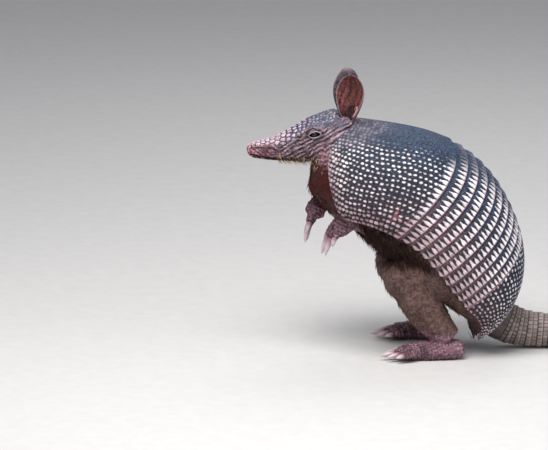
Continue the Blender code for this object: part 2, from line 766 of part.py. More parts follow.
def make_fore_foot(word, side):
    wrist, knuckle, tip = (mirrored(Vector(p) * MM, side) for p in FORE_FEET[word])
    down = (tip - knuckle).normalized()
    aside = Vector((0.25, side, 0.0)).normalized()
    palm = zip((wrist, (wrist + knuckle) / 2, knuckle), PALM_RADII)
    joints = [(tuple(at / MM), radius) for at, radius in palm]
    foot = object_from(loft(sweep(joints, 10, squash=PALM_SQUASH)), f"fore_foot_{word}", "foot")
    pieces = []
    for k, length in enumerate(FORE_CLAWS):
        spread = (k - 1.5) / 1.5
        inner = 1 - abs(spread)
        start = knuckle + aside * spread * FINGER_SPREAD - down * FINGER_ROOT
        way = (down + aside * spread * FINGER_SPLAY).normalized()
        end = start + way * (FINGER_LENGTHS[0] + (FINGER_LENGTHS[1] - FINGER_LENGTHS[0]) * inner)
        width = FINGER_RADII[0] + (FINGER_RADII[1] - FINGER_RADII[0]) * inner
        pieces.append(toe(start, end, width, FINGER_SWELL))
        claw(f"claw_fore_{word}_{k + 1}", end + way * GAP, way, length * MM,
             FORE_CLAW_DROOP * length * MM, FORE_CLAW_WIDTH * width * MM)
    union(foot, pieces)
    return foot


def make_hind_foot(word, side):
    heel, toes = mirrored(HIND_HEEL, side), mirrored(HIND_TOES, side)
    ahead = (toes - heel).normalized()
    aside = Vector((0, side, 0))
    joints = [(tuple(heel.lerp(toes, share) / MM), radius) for share, radius in SOLE]
    rings = sweep(joints, 12, floor=0.0, squash=SOLE_SQUASH, steps=2)
    foot = object_from(loft(rings), f"hind_foot_{word}", "foot")
    pieces = []
    for k, length in enumerate(HIND_CLAWS):
        spread = (k - 2) / 2
        start = toes + aside * spread * TOE_SPREAD - ahead * (TOE_ROOT + TOE_SETBACK * abs(spread))
        way = (ahead + aside * spread * TOE_SPLAY + Vector((0, 0, TOE_DROP))).normalized()
        end = start + way * (TOE_LENGTH - TOE_SHORTENS * abs(spread))
        width = TOE_RADII[1] + (TOE_RADII[0] - TOE_RADII[1]) * abs(spread)
        pieces.append(toe(start, end, width, TOE_SWELL, 0.0))
        claw(f"claw_hind_{word}_{k + 1}", end + way * GAP, way, length * MM,
             HIND_CLAW_DROOP * length * MM, HIND_CLAW_WIDTH * width * MM)
    union(foot, pieces)
    return foot


def make_limbs(neck):
    body = torso_solid("body_cutter", 1.5 * GAP)
    envelope = envelope_solid("shell_cutter")
    for word, side in SIDES.items():
        foot = make_fore_foot(word, side)
        for cutter in (body, envelope):
            boolean(foot, cutter, "DIFFERENCE")
        keep_largest(foot)
        leg = object_from(loft(sweep(placed(FORE_LEGS[word], side), 10)), f"fore_leg_{word}", "skin")
        for cutter in (body, envelope):
            boolean(leg, cutter, "DIFFERENCE")
        clear_of(leg, foot, neck)
        foot = make_hind_foot(word, side)
        leg = object_from(loft(sweep(placed(THIGH, side), 12)), f"hind_leg_{word}", "skin")
        shank = object_from(loft(sweep(placed(SHANK, side), 12)), "shank", "skin")
        (knee_at, knee_radius), = placed([KNEE], side)
        knee = ball(Vector(knee_at) * MM, knee_radius * MM, "knee", 12, 8)
        union(leg, [knee, shank], "MANIFOLD")
        for cutter in (body, envelope):
            boolean(leg, cutter, "DIFFERENCE", "MANIFOLD")
        clear_of(leg, foot, solver="MANIFOLD")
    discard(envelope)
    return body


def make_tail(torso):
    table = np.array([(k, *place, radius) for k, (place, radius) in enumerate(TAIL)], float)
    loops = [(0.0, 0), (0.4, 0), (0.8, 0)]
    at, length = TAIL_RINGS_FROM, TAIL_RING_LENGTH
    while at < TAIL_RINGS_TO:
        loops += [(at, -1), (at + length * TAIL_RIM_AT, 1)]
        at += length
        length *= TAIL_RING_SHORTENS
    rest = (len(TAIL) - 1 - at) / TAIL_TIP_LOOPS
    loops += [(at, -1)] + [(at + rest * k, 0) for k in range(1, TAIL_TIP_LOOPS + 1)]
    rings = []
    for place, rim in loops:
        row = blend(table, place)
        ahead = Vector(blend(table, place + 0.1)[1:4] - blend(table, place - 0.1)[1:4]).normalized()
        aside = ahead.cross(Vector((0, 0, 1))).normalized()
        up = aside.cross(ahead)
        radius = (row[4] + rim * TAIL_RIM_RISE) * MM
        ring = []
        for j in range(TAIL_SIDES):
            turn = 2 * math.pi * (j + 0.5) / TAIL_SIDES
            point = Vector(row[1:4]) * MM + (aside * math.cos(turn) + up * math.sin(turn)) * radius
            point.z = max(point.z, 0.0)
            ring.append(point)
        rings.append(ring)
    grooves = [k for k, (_, rim) in enumerate(loops) if rim < 0]
    cuts = [0, grooves[TAIL_CUT_RINGS[0]], grooves[TAIL_CUT_RINGS[1]], len(rings) - 1]
    for name, start, end in zip(("tail_base", "tail_middle", "tail_tip"), cuts, cuts[1:]):
        span = [list(ring) for ring in rings[start:end + 1]]
        if start:
            ahead = (span[1][0] - span[0][0]).normalized() * GAP
            span[0] = [point + ahead for point in span[0]]
        piece = object_from(loft(span), name, "tail")
        if not start:
            shield = rump_cutter()
            boolean(piece, shield, "DIFFERENCE")
            discard(shield)
            clear_of(piece, torso, solver="MANIFOLD")


def stand_on_origin():
    """Moves the whole animal so that the middle of its box stands over the origin."""
    corners = [o.matrix_world @ Vector(c) for o in COLLECTION.objects for c in o.bound_box]
    low = [min(c[k] for c in corners) for k in range(3)]
    high = [max(c[k] for c in corners) for k in range(3)]
    root = bpy.data.objects.new("armadillo", None)
    root.location = (-(low[0] + high[0]) / 2, -(low[1] + high[1]) / 2, -low[2])
    COLLECTION.objects.link(root)
    for thing in COLLECTION.objects:
        if thing != root:
            thing.parent = root


def main():
    clear_scene()
    bpy.context.scene.collection.children.link(COLLECTION)
    make_shell()
    torso = torso_solid("torso")
    shield = rump_cutter()
    boolean(torso, shield, "DIFFERENCE")
    discard(shield)
    keep_largest(torso)
    head, neck = make_head_and_neck()
    make_ears(head, neck)
    make_eyes(head)
    make_mouth(head)
    body = make_limbs(neck)
    discard(body)
    make_tail(torso)
    bpy.context.view_layer.update()
    stand_on_origin()


main()
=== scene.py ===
"""Looks of a nine-banded armadillo reared up on its hind legs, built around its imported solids.

Shapes are worked out in the part's own millimetres, with the head towards -X, the animal's
left side towards -Y and the floor at z = 0, and are moved to the frame as they become meshes.
"""

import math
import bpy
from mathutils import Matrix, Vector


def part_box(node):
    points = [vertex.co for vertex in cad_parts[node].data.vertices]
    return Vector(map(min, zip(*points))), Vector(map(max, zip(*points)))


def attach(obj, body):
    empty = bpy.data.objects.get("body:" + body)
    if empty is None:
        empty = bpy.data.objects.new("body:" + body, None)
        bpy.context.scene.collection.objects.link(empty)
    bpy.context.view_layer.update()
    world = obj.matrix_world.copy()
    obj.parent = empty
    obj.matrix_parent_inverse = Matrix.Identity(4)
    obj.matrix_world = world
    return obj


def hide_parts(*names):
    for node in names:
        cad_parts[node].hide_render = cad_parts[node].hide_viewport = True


bl_info = {
    "name": "Nine-banded armadillo",
    "version": (1, 0, 0),
    "blender": (4, 5, 0),
    "location": "View3D > Sidebar > Armadillo",
    "description": "Builds a reared-up armadillo with its plated shell, skin, ears, claws and hair",
    "category": "Add Mesh",
}

from types import SimpleNamespace

import bmesh
import bpy
import numpy as np
from bpy.props import FloatProperty, FloatVectorProperty, IntProperty, PointerProperty
from bpy.types import Operator, Panel, PropertyGroup
from mathutils import Matrix, Vector
from mathutils.bvhtree import BVHTree
from mathutils.kdtree import KDTree

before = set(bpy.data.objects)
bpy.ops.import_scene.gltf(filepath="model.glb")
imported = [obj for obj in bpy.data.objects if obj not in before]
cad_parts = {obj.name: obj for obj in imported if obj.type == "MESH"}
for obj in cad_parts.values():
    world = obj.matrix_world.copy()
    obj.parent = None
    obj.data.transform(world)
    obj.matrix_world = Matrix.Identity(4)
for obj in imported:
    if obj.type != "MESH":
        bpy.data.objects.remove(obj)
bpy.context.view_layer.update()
MM = 0.001
SIDES = {"left": -1, "right": 1}

# Shell, in millimetres as in the part
SHELL_THICK = 4.0
FLESH_DEPTH = 4.9
BACK_START = (-63.0, 236.0)
PLACES = (0, 1, 10, 11)
PLACE_ALONG = (0, 93, 210, 283)
BAND_COUNT = 9
RUMP_LOBE = 26.0
FRONT_CORNER = 34.0

# Each row is distance along the back, its heading below level, the lean of the
# cross-section from upright, half width, depth, and depth of the shell's lower edge
BACK = np.array((
    (-24, 6, 29.5, 41, 80, 74),
    (0, 8, 31.5, 56, 99, 89),
    (25, 10, 32.5, 64, 113, 101),
    (60, 15, 34.0, 69, 124, 104),
    (100, 31, 35.5, 72, 134, 106),
    (160, 58, 38.0, 74, 131, 106),
    (206, 73, 41.0, 71, 113, 94),
    (247, 94, 46.0, 61, 84, 70),
    (290, 122, 54.0, 44, 58, 46),
    (330, 145, 62.0, 24, 36, 28),
), float)
FLANK_BOW = np.array(((-24, 0), (0, -23), (93, 10), (210, 10), (330, 6)), float)

# Head, from the nose back: top and bottom of the section, then half width
HEAD = np.array((
    (-178.5, 211.0, -178.0, 203.0, 4.5),
    (-175.0, 213.0, -174.5, 199.5, 6.5),
    (-167.0, 215.5, -168.0, 198.0, 8.5),
    (-156.0, 218.5, -158.0, 196.5, 9.5),
    (-144.0, 223.5, -148.0, 195.5, 11.5),
    (-131.0, 230.7, -138.0, 195.0, 14.0),
    (-118.0, 237.8, -129.0, 194.5, 17.5),
    (-106.0, 242.3, -122.0, 194.5, 20.5),
    (-96.0, 245.6, -117.0, 195.0, 23.0),
    (-87.0, 246.4, -113.0, 196.0, 25.0),
), float)
HEAD_SQUARENESS = 2.3
NECK_WAIST = 0.02
NECK_INSET = 0.03
EYE_AT = np.array((-113.0, 15.5, 226.5))
EYE_RADIUS = 4.6
EYE_SEEN = EYE_AT + (0.3, 0.1, -1.7)
EAR_ROOT = np.array((-79.0, 17.0, 238.0))
EAR_HEIGHT = 47.0
EAR_WIDTH = 29.0
EAR_THICK = 1.5
EAR_FACING = np.array((-0.42, 0.90, 0.0))
EAR_LEAN = np.array((0.05, 0.12, 1.0))
NOSTRIL_AT = np.array((-178.8, 2.3, 207.6))
HEAD_END = -84

# Lines on the head, each row a place along the rows of HEAD and then, for the mouth, its height
# over the section's foot, or for the crease and the plates' edge, a turn from the top
MOUTH = ((0.9, 3.6), (1.6, 3.4), (2.6, 3.2), (3.6, 3.2), (4.6, 3.6), (5.4, 4.6))
SNOUT_CREASE = ((0.55, 1.02), (1.2, 1.10), (2.0, 1.22), (3.0, 1.40), (3.8, 1.62))
HEAD_PLATE_TURN = np.array((
    (0.0, 1.05), (1.0, 0.95), (2.0, 0.92), (3.0, 1.10), (4.0, 1.30), (5.0, 1.28),
    (6.0, 0.98), (7.0, 0.94), (8.0, 0.95), (9.0, 0.90),
), float)

# Limbs, as joints of the left side with +Y outwards, and the radius at each
FORE_LEGS = {
    "left": ((-62, 34, 168, 15), (-66, 40, 148, 12), (-80, 33, 139, 8.5)),
    "right": ((-78, 30, 178, 15), (-90, 28, 164, 12), (-103, 24, 149, 8.0)),
}
FORE_FEET = {
    "left": ((-80.5, 32, 138), (-93, 29, 130), (-103, 27, 113)),
    "right": ((-103, 24, 148), (-110, 23, 135), (-117, 22, 117)),
}
PALM_RADII = (8.4, 9.5, 8.5)
PALM_SQUASH = 1.15
FINGER_SPREAD = 7.5
FINGER_ROOT = 5.0
FINGER_SPLAY = 0.28
FINGER_LENGTHS = (12.0, 15.5)
FINGER_RADII = (3.2, 4.2)
THIGH = ((58, 28, 92, 27), (24, 27, 88, 34), (-18, 35, 82, 26))
KNEE = (-20, 35, 82, 26)
SHANK = ((-16, 36, 78, 24), (-4, 40, 50, 20), (20, 43.5, 20, 13))
HIND_HEEL = np.array((30.0, 44.0, 9.0))
HIND_TOES = np.array((-26.0, 48.0, 8.0))
SOLE = ((-0.06, 5.5), (0.0, 9.5), (0.4, 9.8), (0.8, 9.0), (1.0, 7.5))
SOLE_SQUASH = 1.35
TOE_SPREAD = 11.5
TOE_ROOT = 6.0
TOE_SETBACK = 4.0
TOE_SPLAY = 0.34
TOE_DROP = -0.06
TOE_LENGTH = 15.0
TOE_SHORTENS = 2.0
TOE_RADII = (3.5, 4.2)
FORE_CLAWS = (10, 19, 18, 9)
FORE_CLAW_DROOP = 0.18
FORE_CLAW_WIDTH = 0.82
HIND_CLAWS = (8, 13, 15, 13, 8)
HIND_CLAW_DROOP = 0.08
HIND_CLAW_WIDTH = 0.66
GAP = 0.4
TORSO_FRONT = -14.0
FEET_TOP = 20
LIMB_PATHS = [np.array(joints, float)[:, :3] for joints in (
    (*THIGH, *SHANK[1:]),
    (*FORE_LEGS["left"], (*FORE_FEET["left"][2], 0)),
    (*FORE_LEGS["right"], (*FORE_FEET["right"][2], 0)),
)]

# Flesh that fills the nape in front of the shield and beds the ears, as joints and a radius at each
NAPE = ((-94, 0, 233, 9.5), (-80, 0, 231.5, 9.8), (-68, 0, 229, 8.6), (-56, 0, 222, 8.0))
NAPE_SQUASH = 2.1
EAR_BED = ((-90, 11, 226, 10), (-82, 15.5, 234, 8.8), (-79.5, 16.5, 240, 6.2))

# Tail, as joints from the root to the tip and the radius at each
TAIL = np.array((
    (60, 0, 40, 21), (80, 0, 27, 20.5), (100, -1, 20, 18.5), (130, -4, 17, 16.5),
    (170, -12, 13.6, 13.8), (215, -24, 10.6, 10.8), (260, -38, 7.6, 7.8),
    (305, -50, 4.9, 5.0), (350, -57, 2.4, 2.4),
), float)
TAIL_RINGS_FROM = 1.1
TAIL_RINGS_TO = 6.4
TAIL_RING_LENGTH = 0.42
TAIL_RING_SHORTENS = 0.965

# Rows and columns of points on each piece
LATTICES = {
    "shoulder_shield": (172, 500),
    "rump_shield": (176, 440),
    "band": (44, 560),
    "head_plates": (300, 172),
    "ear": (130, 116),
    "tail": (560, 132),
}
LID_COLUMNS = 144

# Rows that close a piece of shell behind and below, each a share of the way back and a height
SHIELD_RIM = ((1.0, -1.7), (0.985, -3.2), (0.9, -SHELL_THICK), (0.6, -SHELL_THICK), (0.3, -SHELL_THICK),
              (0.03, -SHELL_THICK), (0.0, -3.4))
BAND_RIM = ((0.995, -1.2), (0.93, -1.75), (0.8, -2.9), (0.72, -SHELL_THICK), (0.4, -SHELL_THICK),
            (0.02, -SHELL_THICK), (0.0, -3.5))

# A band's height from where it leaves the piece before it to its rear rim, and the length over
# which it narrows to its lower end
BAND_REACH = (-0.2, -0.1, 0, 0.35, 0.5, 0.9, 0.97, 1.0)
BAND_HEIGHT = (-3.2, -2.6, -2.25, -1.5, -1.1, -0.25, -0.12, -0.5)
BAND_LOWER_END = 6.5

# The head's plates: the places they cover, and their size at places between
HEAD_PLATES_FROM, HEAD_PLATES_TO = 0.35, 8.75
HEAD_PLATE_AT = (0.4, 2.0, 4.0, 5.4, 6.4, 8.5)
HEAD_PLATE_SIZE = (3.2, 4.3, 6.0, 5.4, 3.9, 3.2)

# The fold in an ear's cup: its height and its turn round the cup
FOLD_SHARE = np.array((0.10, 0.16, 0.22, 0.27, 0.29, 0.27, 0.23))
FOLD_TURN = np.array((0.86, 0.78, 0.70, 0.58, 0.44, 0.34, 0.30))

# Half length and half height of the lids, and how far they are off the eye's middle
LID_REACH = (9.4, 6.6)
LID_OFF = (0.4, 0.5)

# Healed scrapes on the shoulder shield, each a place in the side view, length, width and lean
SCARS = ((-36.5, 154, 8.0, 2.0, 1.1), (-22, 146.5, 4.0, 1.6, 0.6), (-33, 148, 4, 1.5, 2.3))

# The coat's parts, each by its tufts in a square millimetre, lengths, lie and slopes
COATS = {
    "coat_belly": (0.34, (7, 14), (0.45, 0, -0.9), (0.25, 0.7)),
    "coat_legs": (0.03, (3, 6.5), (0.35, 0, -1.0), (0.15, 0.45)),
    "coat_throat": (0.12, (3, 7), (0.6, 0, -0.8), (0.15, 0.5)),
    "coat_chin": (0.15, (3, 7.5), (0.6, 0, -0.8), (0.3, 0.9)),
    "coat_cheek": (0.018, (2, 3.6), (0.8, 0, 0.5), (0.2, 0.5)),
    "coat_feet": (0.012, (1.4, 2.6), (-1.0, 0, -0.4), (0.12, 0.35)),
}
HAIRS_BETWEEN_BANDS = 34
HAIRS_OF_FRINGE = 340

# Where the camera looks, below the animal's snout
AIM = np.array((-151.6, 0.0, 129.9))

# Lamps, each by its turn, height over the horizon, distance, size and colour
LIGHTS = {
    "key": (-32, 58, 1.3, 0.8, (1.0, 0.985, 0.96)),
    "fill": (48, 22, 1.6, 1.4, (0.9, 0.95, 1.0)),
    "rim": (170, 50, 1.6, 0.9, (1.0, 1.0, 1.0)),
}

# From the part's own millimetres to the frame, read off the left eye
EYE_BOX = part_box("eye_left")
TO_FRAME = np.array((EYE_BOX[0] + EYE_BOX[1]) / 2) / MM - EYE_AT * (1, -1, 1)


def srgb(red, green, blue):
    """A colour in linear light from its everyday 0 to 255 values."""
    return tuple(((v / 255 + 0.055) / 1.055) ** 2.4 for v in (red, green, blue))


def colour_property(name, description, *tone):
    """A colour that a user may change, by its everyday 0 to 255 values."""
    return FloatVectorProperty(name=name, description=description, subtype="COLOR", default=srgb(*tone))


# Sums on arrays


def unit(vectors):
    """The vectors at a length of one."""
    return vectors / np.maximum(np.linalg.norm(vectors, axis=-1, keepdims=True), 1e-12)


def smooth(low, high, value):
    """0 below low, 1 above high, and an even step between."""
    u = np.clip((value - low) / (high - low), 0, 1)
    return u * u * (3 - 2 * u)


def hump(off, width):
    """1 where a point is on a mark, and less the further off it is."""
    return np.exp(-((off / width) ** 2))


def mix(first, second, share):
    """Colours part of the way from the first to the second."""
    share = np.asarray(share)[..., None]
    return np.asarray(first) * (1 - share) + np.asarray(second) * share


def layered(colour, *layers):
    """The colour under layers, each a colour and how much of it shows."""
    for tone, share in layers:
        colour = mix(colour, tone, share)
    return colour


def blend(table, at):
    """The table's columns at each place, on smooth curves through its rows."""
    places = table[:, 0]
    at = np.clip(np.atleast_1d(np.asarray(at, float)), places[0], places[-1])
    k = np.clip(np.searchsorted(places, at) - 1, 0, len(places) - 2)
    span = (places[k + 1] - places[k])[:, None]
    u = (at - places[k])[:, None] / span
    before, after = np.maximum(k - 1, 0), np.minimum(k + 2, len(places) - 1)
    slope_a = (table[k + 1] - table[before]) / (places[k + 1] - places[before])[:, None]
    slope_b = (table[after] - table[k]) / (places[after] - places[k])[:, None]
    h1 = 2 * u**3 - 3 * u**2 + 1
    h2 = u**3 - 2 * u**2 + u
    h3 = u**3 - u**2
    return h1 * table[k] + h2 * span * slope_a + (1 - h1) * table[k + 1] + h3 * span * slope_b


def numbered(rows):
    """The rows with their own number put before each, for reading with blend."""
    rows = np.asarray(rows, float)
    return np.column_stack((np.arange(len(rows)), rows))


def ripple(points, scale, seed):
    """Smooth noise between -1 and 1 over points, made of a few crossed waves."""
    draw = np.random.default_rng(seed)
    total = np.zeros(len(points))
    for _ in range(7):
        way = unit(draw.normal(size=3)) * draw.uniform(0.6, 1.7) / scale
        total += np.sin(points @ way * 2 * np.pi + draw.uniform(0, 2 * np.pi))
    return total / 3.2


def around(count):
    """Even turns round a circle."""
    return np.arange(count) * 2 * np.pi / count


def spread_flat(values, shape):
    """The values repeated over a lattice, as one flat row."""
    return np.broadcast_to(values, shape).ravel()


def point_tree(points):
    """The points, ready to be asked which of them are nearest."""
    tree = KDTree(len(points))
    for k, point in enumerate(points):
        tree.insert(point, k)
    tree.balance()
    return tree


def cells(points, centres):
    """For each point its nearest centre, and how far that one and the next are."""
    tree = point_tree(centres)
    nearest = np.empty(len(points), int)
    first, second = np.empty(len(points)), np.empty(len(points))
    for k, point in enumerate(points.tolist()):
        (_, nearest[k], first[k]), (_, _, second[k]) = tree.find_n(point, 2)
    return nearest, first, second


# The trunk's surface

ALONG = np.arange(-24.0, 330.5, 1.0)
ACROSS_STEPS = 100
ACROSS = np.linspace(-2, 2, 4 * ACROSS_STEPS + 1)


def trunk_tables():
    """The trunk's surface, its normals and the length down each flank, on a fine lattice."""
    rows = blend(BACK, ALONG)
    turn = np.radians(rows[:, 1])
    x = np.concatenate(([0], np.cumsum(np.cos(turn[:-1]))))
    z = -np.concatenate(([0], np.cumsum(np.sin(turn[:-1]))))
    start = int(-ALONG[0])
    x, z = x - x[start] + BACK_START[0], z - z[start] + BACK_START[1]
    points = np.empty((len(ALONG), len(ACROSS), 3))
    flank = np.empty(len(ALONG))
    angle = np.linspace(0, math.pi, 145)
    upper = angle <= math.pi / 2
    power = np.where(upper, 2 / 2.15, 2 / 2.9)
    share = np.abs(ACROSS)
    for i, (_, _, lean, half_width, depth, edge) in enumerate(rows):
        crown = 0.5 * depth
        height = np.where(upper, crown, depth - crown)
        width = half_width * np.abs(np.sin(angle)) ** power
        down = crown - np.sign(np.cos(angle)) * height * np.abs(np.cos(angle)) ** power
        length = np.concatenate(([0], np.cumsum(np.hypot(np.diff(width), np.diff(down)))))
        flank[i] = np.interp(edge, down, length)
        place = np.where(share <= 1, share * flank[i], flank[i] + (share - 1) * (length[-1] - flank[i]))
        deep = np.interp(place, length, down)
        side = np.interp(place, length, width) * np.sign(ACROSS)
        tilt = math.radians(lean)
        points[i] = np.column_stack((x[i] - deep * math.sin(tilt), side, z[i] - deep * math.cos(tilt)))
    normals = np.cross(np.gradient(points, axis=0), np.gradient(points, axis=1))
    return points, unit(normals), flank


TRUNK_POINTS, TRUNK_NORMALS, FLANK_LENGTH = trunk_tables()


def trunk(along, across, lift=0.0):
    """Points at a height over the trunk. Across is 0 on the back, 1 at the shell's edge, 2 on the belly."""
    along, across = np.broadcast_arrays(np.asarray(along, float), np.asarray(across, float))
    a = np.clip(along - ALONG[0], 0, len(ALONG) - 1.001)
    c = np.clip((across + 2) * ACROSS_STEPS, 0, len(ACROSS) - 1.001)
    i, j = a.astype(int), c.astype(int)
    u, v = (a - i)[..., None], (c - j)[..., None]

    def between(table):
        near = (1 - v) * table[i, j] + v * table[i, j + 1]
        return (1 - u) * near + u * ((1 - v) * table[i + 1, j] + v * table[i + 1, j + 1])

    return between(TRUNK_POINTS) + unit(between(TRUNK_NORMALS)) * np.asarray(lift)[..., None]


def line_at(place, across):
    """Distance along the back of a cross-line of the shell, out on the flank."""
    place, share = np.broadcast_arrays(np.asarray(place, float), np.minimum(np.abs(across), 1.0))
    base = np.interp(place, PLACES, PLACE_ALONG)
    bow = blend(FLANK_BOW, base.ravel())[:, 1].reshape(base.shape)
    along = base + bow * np.sin(np.pi * share) * np.tanh(share / 0.18)
    along = along + np.where(place < 1, (1 - place) ** 2 * FRONT_CORNER * share**6, 0)
    lobe = RUMP_LOBE * (1 - hump(share, 0.3)) - 0.7 * RUMP_LOBE * share**8
    return along + np.where(place > 10, (place - 10) * lobe, 0)


def flank_mm(along):
    """Length from the back down to the shell's lower edge."""
    return np.interp(along, ALONG, FLANK_LENGTH)


# Meshes from rows of points


def lattice(rows, columns, wrap_rows=False, wrap_columns=False):
    """Four-sided faces over a lattice of points, in the order of its rows."""
    index = np.arange(rows * columns).reshape(rows, columns)
    if wrap_rows:
        index = np.vstack((index, index[:1]))
    if wrap_columns:
        index = np.hstack((index, index[:, :1]))
    corners = (index[:-1, :-1], index[:-1, 1:], index[1:, 1:], index[1:, :-1])
    return np.stack(corners, -1).reshape(-1, 4).tolist()


def paint(mesh, tint):
    """Writes a colour for each point, which the finishes read."""
    colours = np.column_stack((np.clip(tint, 0, 1), np.ones(len(tint))))
    mesh.attributes.new("Tint", "FLOAT_COLOR", "POINT").data.foreach_set("color", colours.ravel())


def finish_mesh(mesh, points, tint, surface):
    """Puts a mesh's points in the frame, and gives it its tint, its finish and smooth faces."""
    mesh.vertices.foreach_set("co", ((points + TO_FRAME) * MM).ravel())
    paint(mesh, tint)
    mesh.materials.append(finish(surface))
    mesh.polygons.foreach_set("use_smooth", np.ones(len(mesh.polygons), bool))
    mesh.update()


def new_piece(name, points, faces, surface, tint, lie=None, replaces=(), map_name="Lie"):
    """A mesh piece in the frame from points in the part's millimetres, riding on the animal."""
    points = points.reshape(-1, 3)
    mesh = bpy.data.meshes.new(name)
    mesh.from_pydata(points.tolist(), [], faces)
    finish_mesh(mesh, points, tint.reshape(-1, 3), surface)
    if lie is not None:
        index = np.empty(len(mesh.loops), int)
        mesh.loops.foreach_get("vertex_index", index)
        places = lie.reshape(-1, 2)[index].astype(np.float32)
        mesh.uv_layers.new(name=map_name).data.foreach_set("uv", places.ravel())
    mesh.validate()
    bm = bmesh.new()
    bm.from_mesh(mesh)
    bmesh.ops.recalc_face_normals(bm, faces=bm.faces[:])
    bm.to_mesh(mesh)
    bm.free()
    piece = bpy.data.objects.new(name, mesh)
    bpy.context.scene.collection.objects.link(piece)
    return settle(piece, replaces)


def settle(piece, replaces=()):
    """Makes a finished piece ride on the animal and stand for its solids."""
    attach(piece, "root")
    if replaces:
        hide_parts(*replaces)
    return piece


# Materials


def add_node(tree, kind, inputs=None, **settings):
    """A new node with its settings, whose inputs take a value or another node's output."""
    made = tree.nodes.new(kind)
    for key, value in settings.items():
        setattr(made, key, value)
    for key, value in (inputs or {}).items():
        if isinstance(value, bpy.types.NodeSocket):
            tree.links.new(value, made.inputs[key])
        else:
            made.inputs[key].default_value = value
    return made


def grain(tree, scale, detail=4.0, roughness=0.6, vector=None):
    """Noise over the piece, in cells per metre."""
    vector = vector or add_node(tree, "ShaderNodeTexCoord").outputs["Object"]
    return add_node(tree, "ShaderNodeTexNoise", {
        "Vector": vector, "Scale": scale, "Detail": detail, "Roughness": roughness}).outputs["Fac"]


def ramp(tree, value, low, high):
    """The value spread so that low becomes 0 and high becomes 1."""
    made = add_node(tree, "ShaderNodeMapRange", {"Value": value, "From Min": low, "From Max": high})
    return made.outputs["Result"]


def tinted_finish(name, speckle, speckle_scale, rough, bumps, specular=0.35, sheen=0.0, subsurface=0.0):
    """A finish that takes its markings from the piece's tint, with its own speckle, gloss and relief.

    Each bump is its cells per metre and its height in metres."""
    made = bpy.data.materials.new(name)
    made.use_nodes = True
    tree = made.node_tree
    shader = tree.nodes["Principled BSDF"]
    shader.inputs["Specular IOR Level"].default_value = specular
    shader.inputs["Sheen Weight"].default_value = sheen
    shader.inputs["Subsurface Weight"].default_value = subsurface
    shader.inputs["Subsurface Scale"].default_value = 0.002
    tint = add_node(tree, "ShaderNodeAttribute", attribute_name="Tint").outputs["Color"]
    spots = ramp(tree, grain(tree, speckle_scale, 5.0, 0.7), 0.32, 0.68)
    broad = ramp(tree, grain(tree, speckle_scale * 0.14, 3.0), 0.3, 0.7)
    share = add_node(tree, "ShaderNodeMath", {0: spots, 1: broad}, operation="ADD").outputs[0]
    value = add_node(tree, "ShaderNodeMapRange", {
        "Value": share, "From Min": 0.0, "From Max": 2.0, "To Min": 1 - speckle, "To Max": 1 + speckle})
    adjusted = add_node(tree, "ShaderNodeHueSaturation", {"Color": tint, "Value": value.outputs["Result"]})
    tree.links.new(adjusted.outputs["Color"], shader.inputs["Base Color"])
    gloss = add_node(tree, "ShaderNodeMapRange", {
        "Value": grain(tree, speckle_scale * 0.5), "From Min": 0.3, "From Max": 0.7,
        "To Min": rough[0], "To Max": rough[1]})
    tree.links.new(gloss.outputs["Result"], shader.inputs["Roughness"])
    normal = None
    for scale, height in bumps:
        inputs = {"Height": grain(tree, scale, 3.0), "Strength": 1.0, "Distance": height}
        if normal:
            inputs["Normal"] = normal
        normal = add_node(tree, "ShaderNodeBump", inputs).outputs["Normal"]
    tree.links.new(normal, shader.inputs["Normal"])
    return made


def finish(name):
    """The named finish, made when it is first asked for."""
    if name in bpy.data.materials and name in FINISHES:
        return bpy.data.materials[name]
    return tinted_finish(name, **FINISHES[name])


FINISHES = {
    "horny_plate": dict(speckle=0.26, speckle_scale=420, rough=(0.5, 0.75), specular=0.28,
                        bumps=((1500, 0.00018), (420, 0.00022))),
    "wrinkled_skin": dict(speckle=0.4, speckle_scale=560, rough=(0.5, 0.78), specular=0.22, subsurface=0.03,
                          bumps=((1300, 0.0002), (450, 0.0004))),
    "ear_skin": dict(speckle=0.46, speckle_scale=600, rough=(0.5, 0.75), specular=0.25, subsurface=0.03,
                     bumps=((1400, 0.00016), (500, 0.0002))),
    "claw_horn": dict(speckle=0.12, speckle_scale=500, rough=(0.22, 0.4), specular=0.5, subsurface=0.05,
                      bumps=((900, 0.00006), (300, 0.0001))),
    "head_plate": dict(speckle=0.2, speckle_scale=700, rough=(0.4, 0.62), specular=0.4,
                       bumps=((1800, 0.0001), (600, 0.00012))),
    "wet_eye": dict(speckle=0.1, speckle_scale=900, rough=(0.04, 0.08), specular=0.7,
                    bumps=((300, 0.00001),)),
    "hair": dict(speckle=0.3, speckle_scale=700, rough=(0.6, 0.8), specular=0.14,
                 bumps=((1500, 0.00003),)),
}


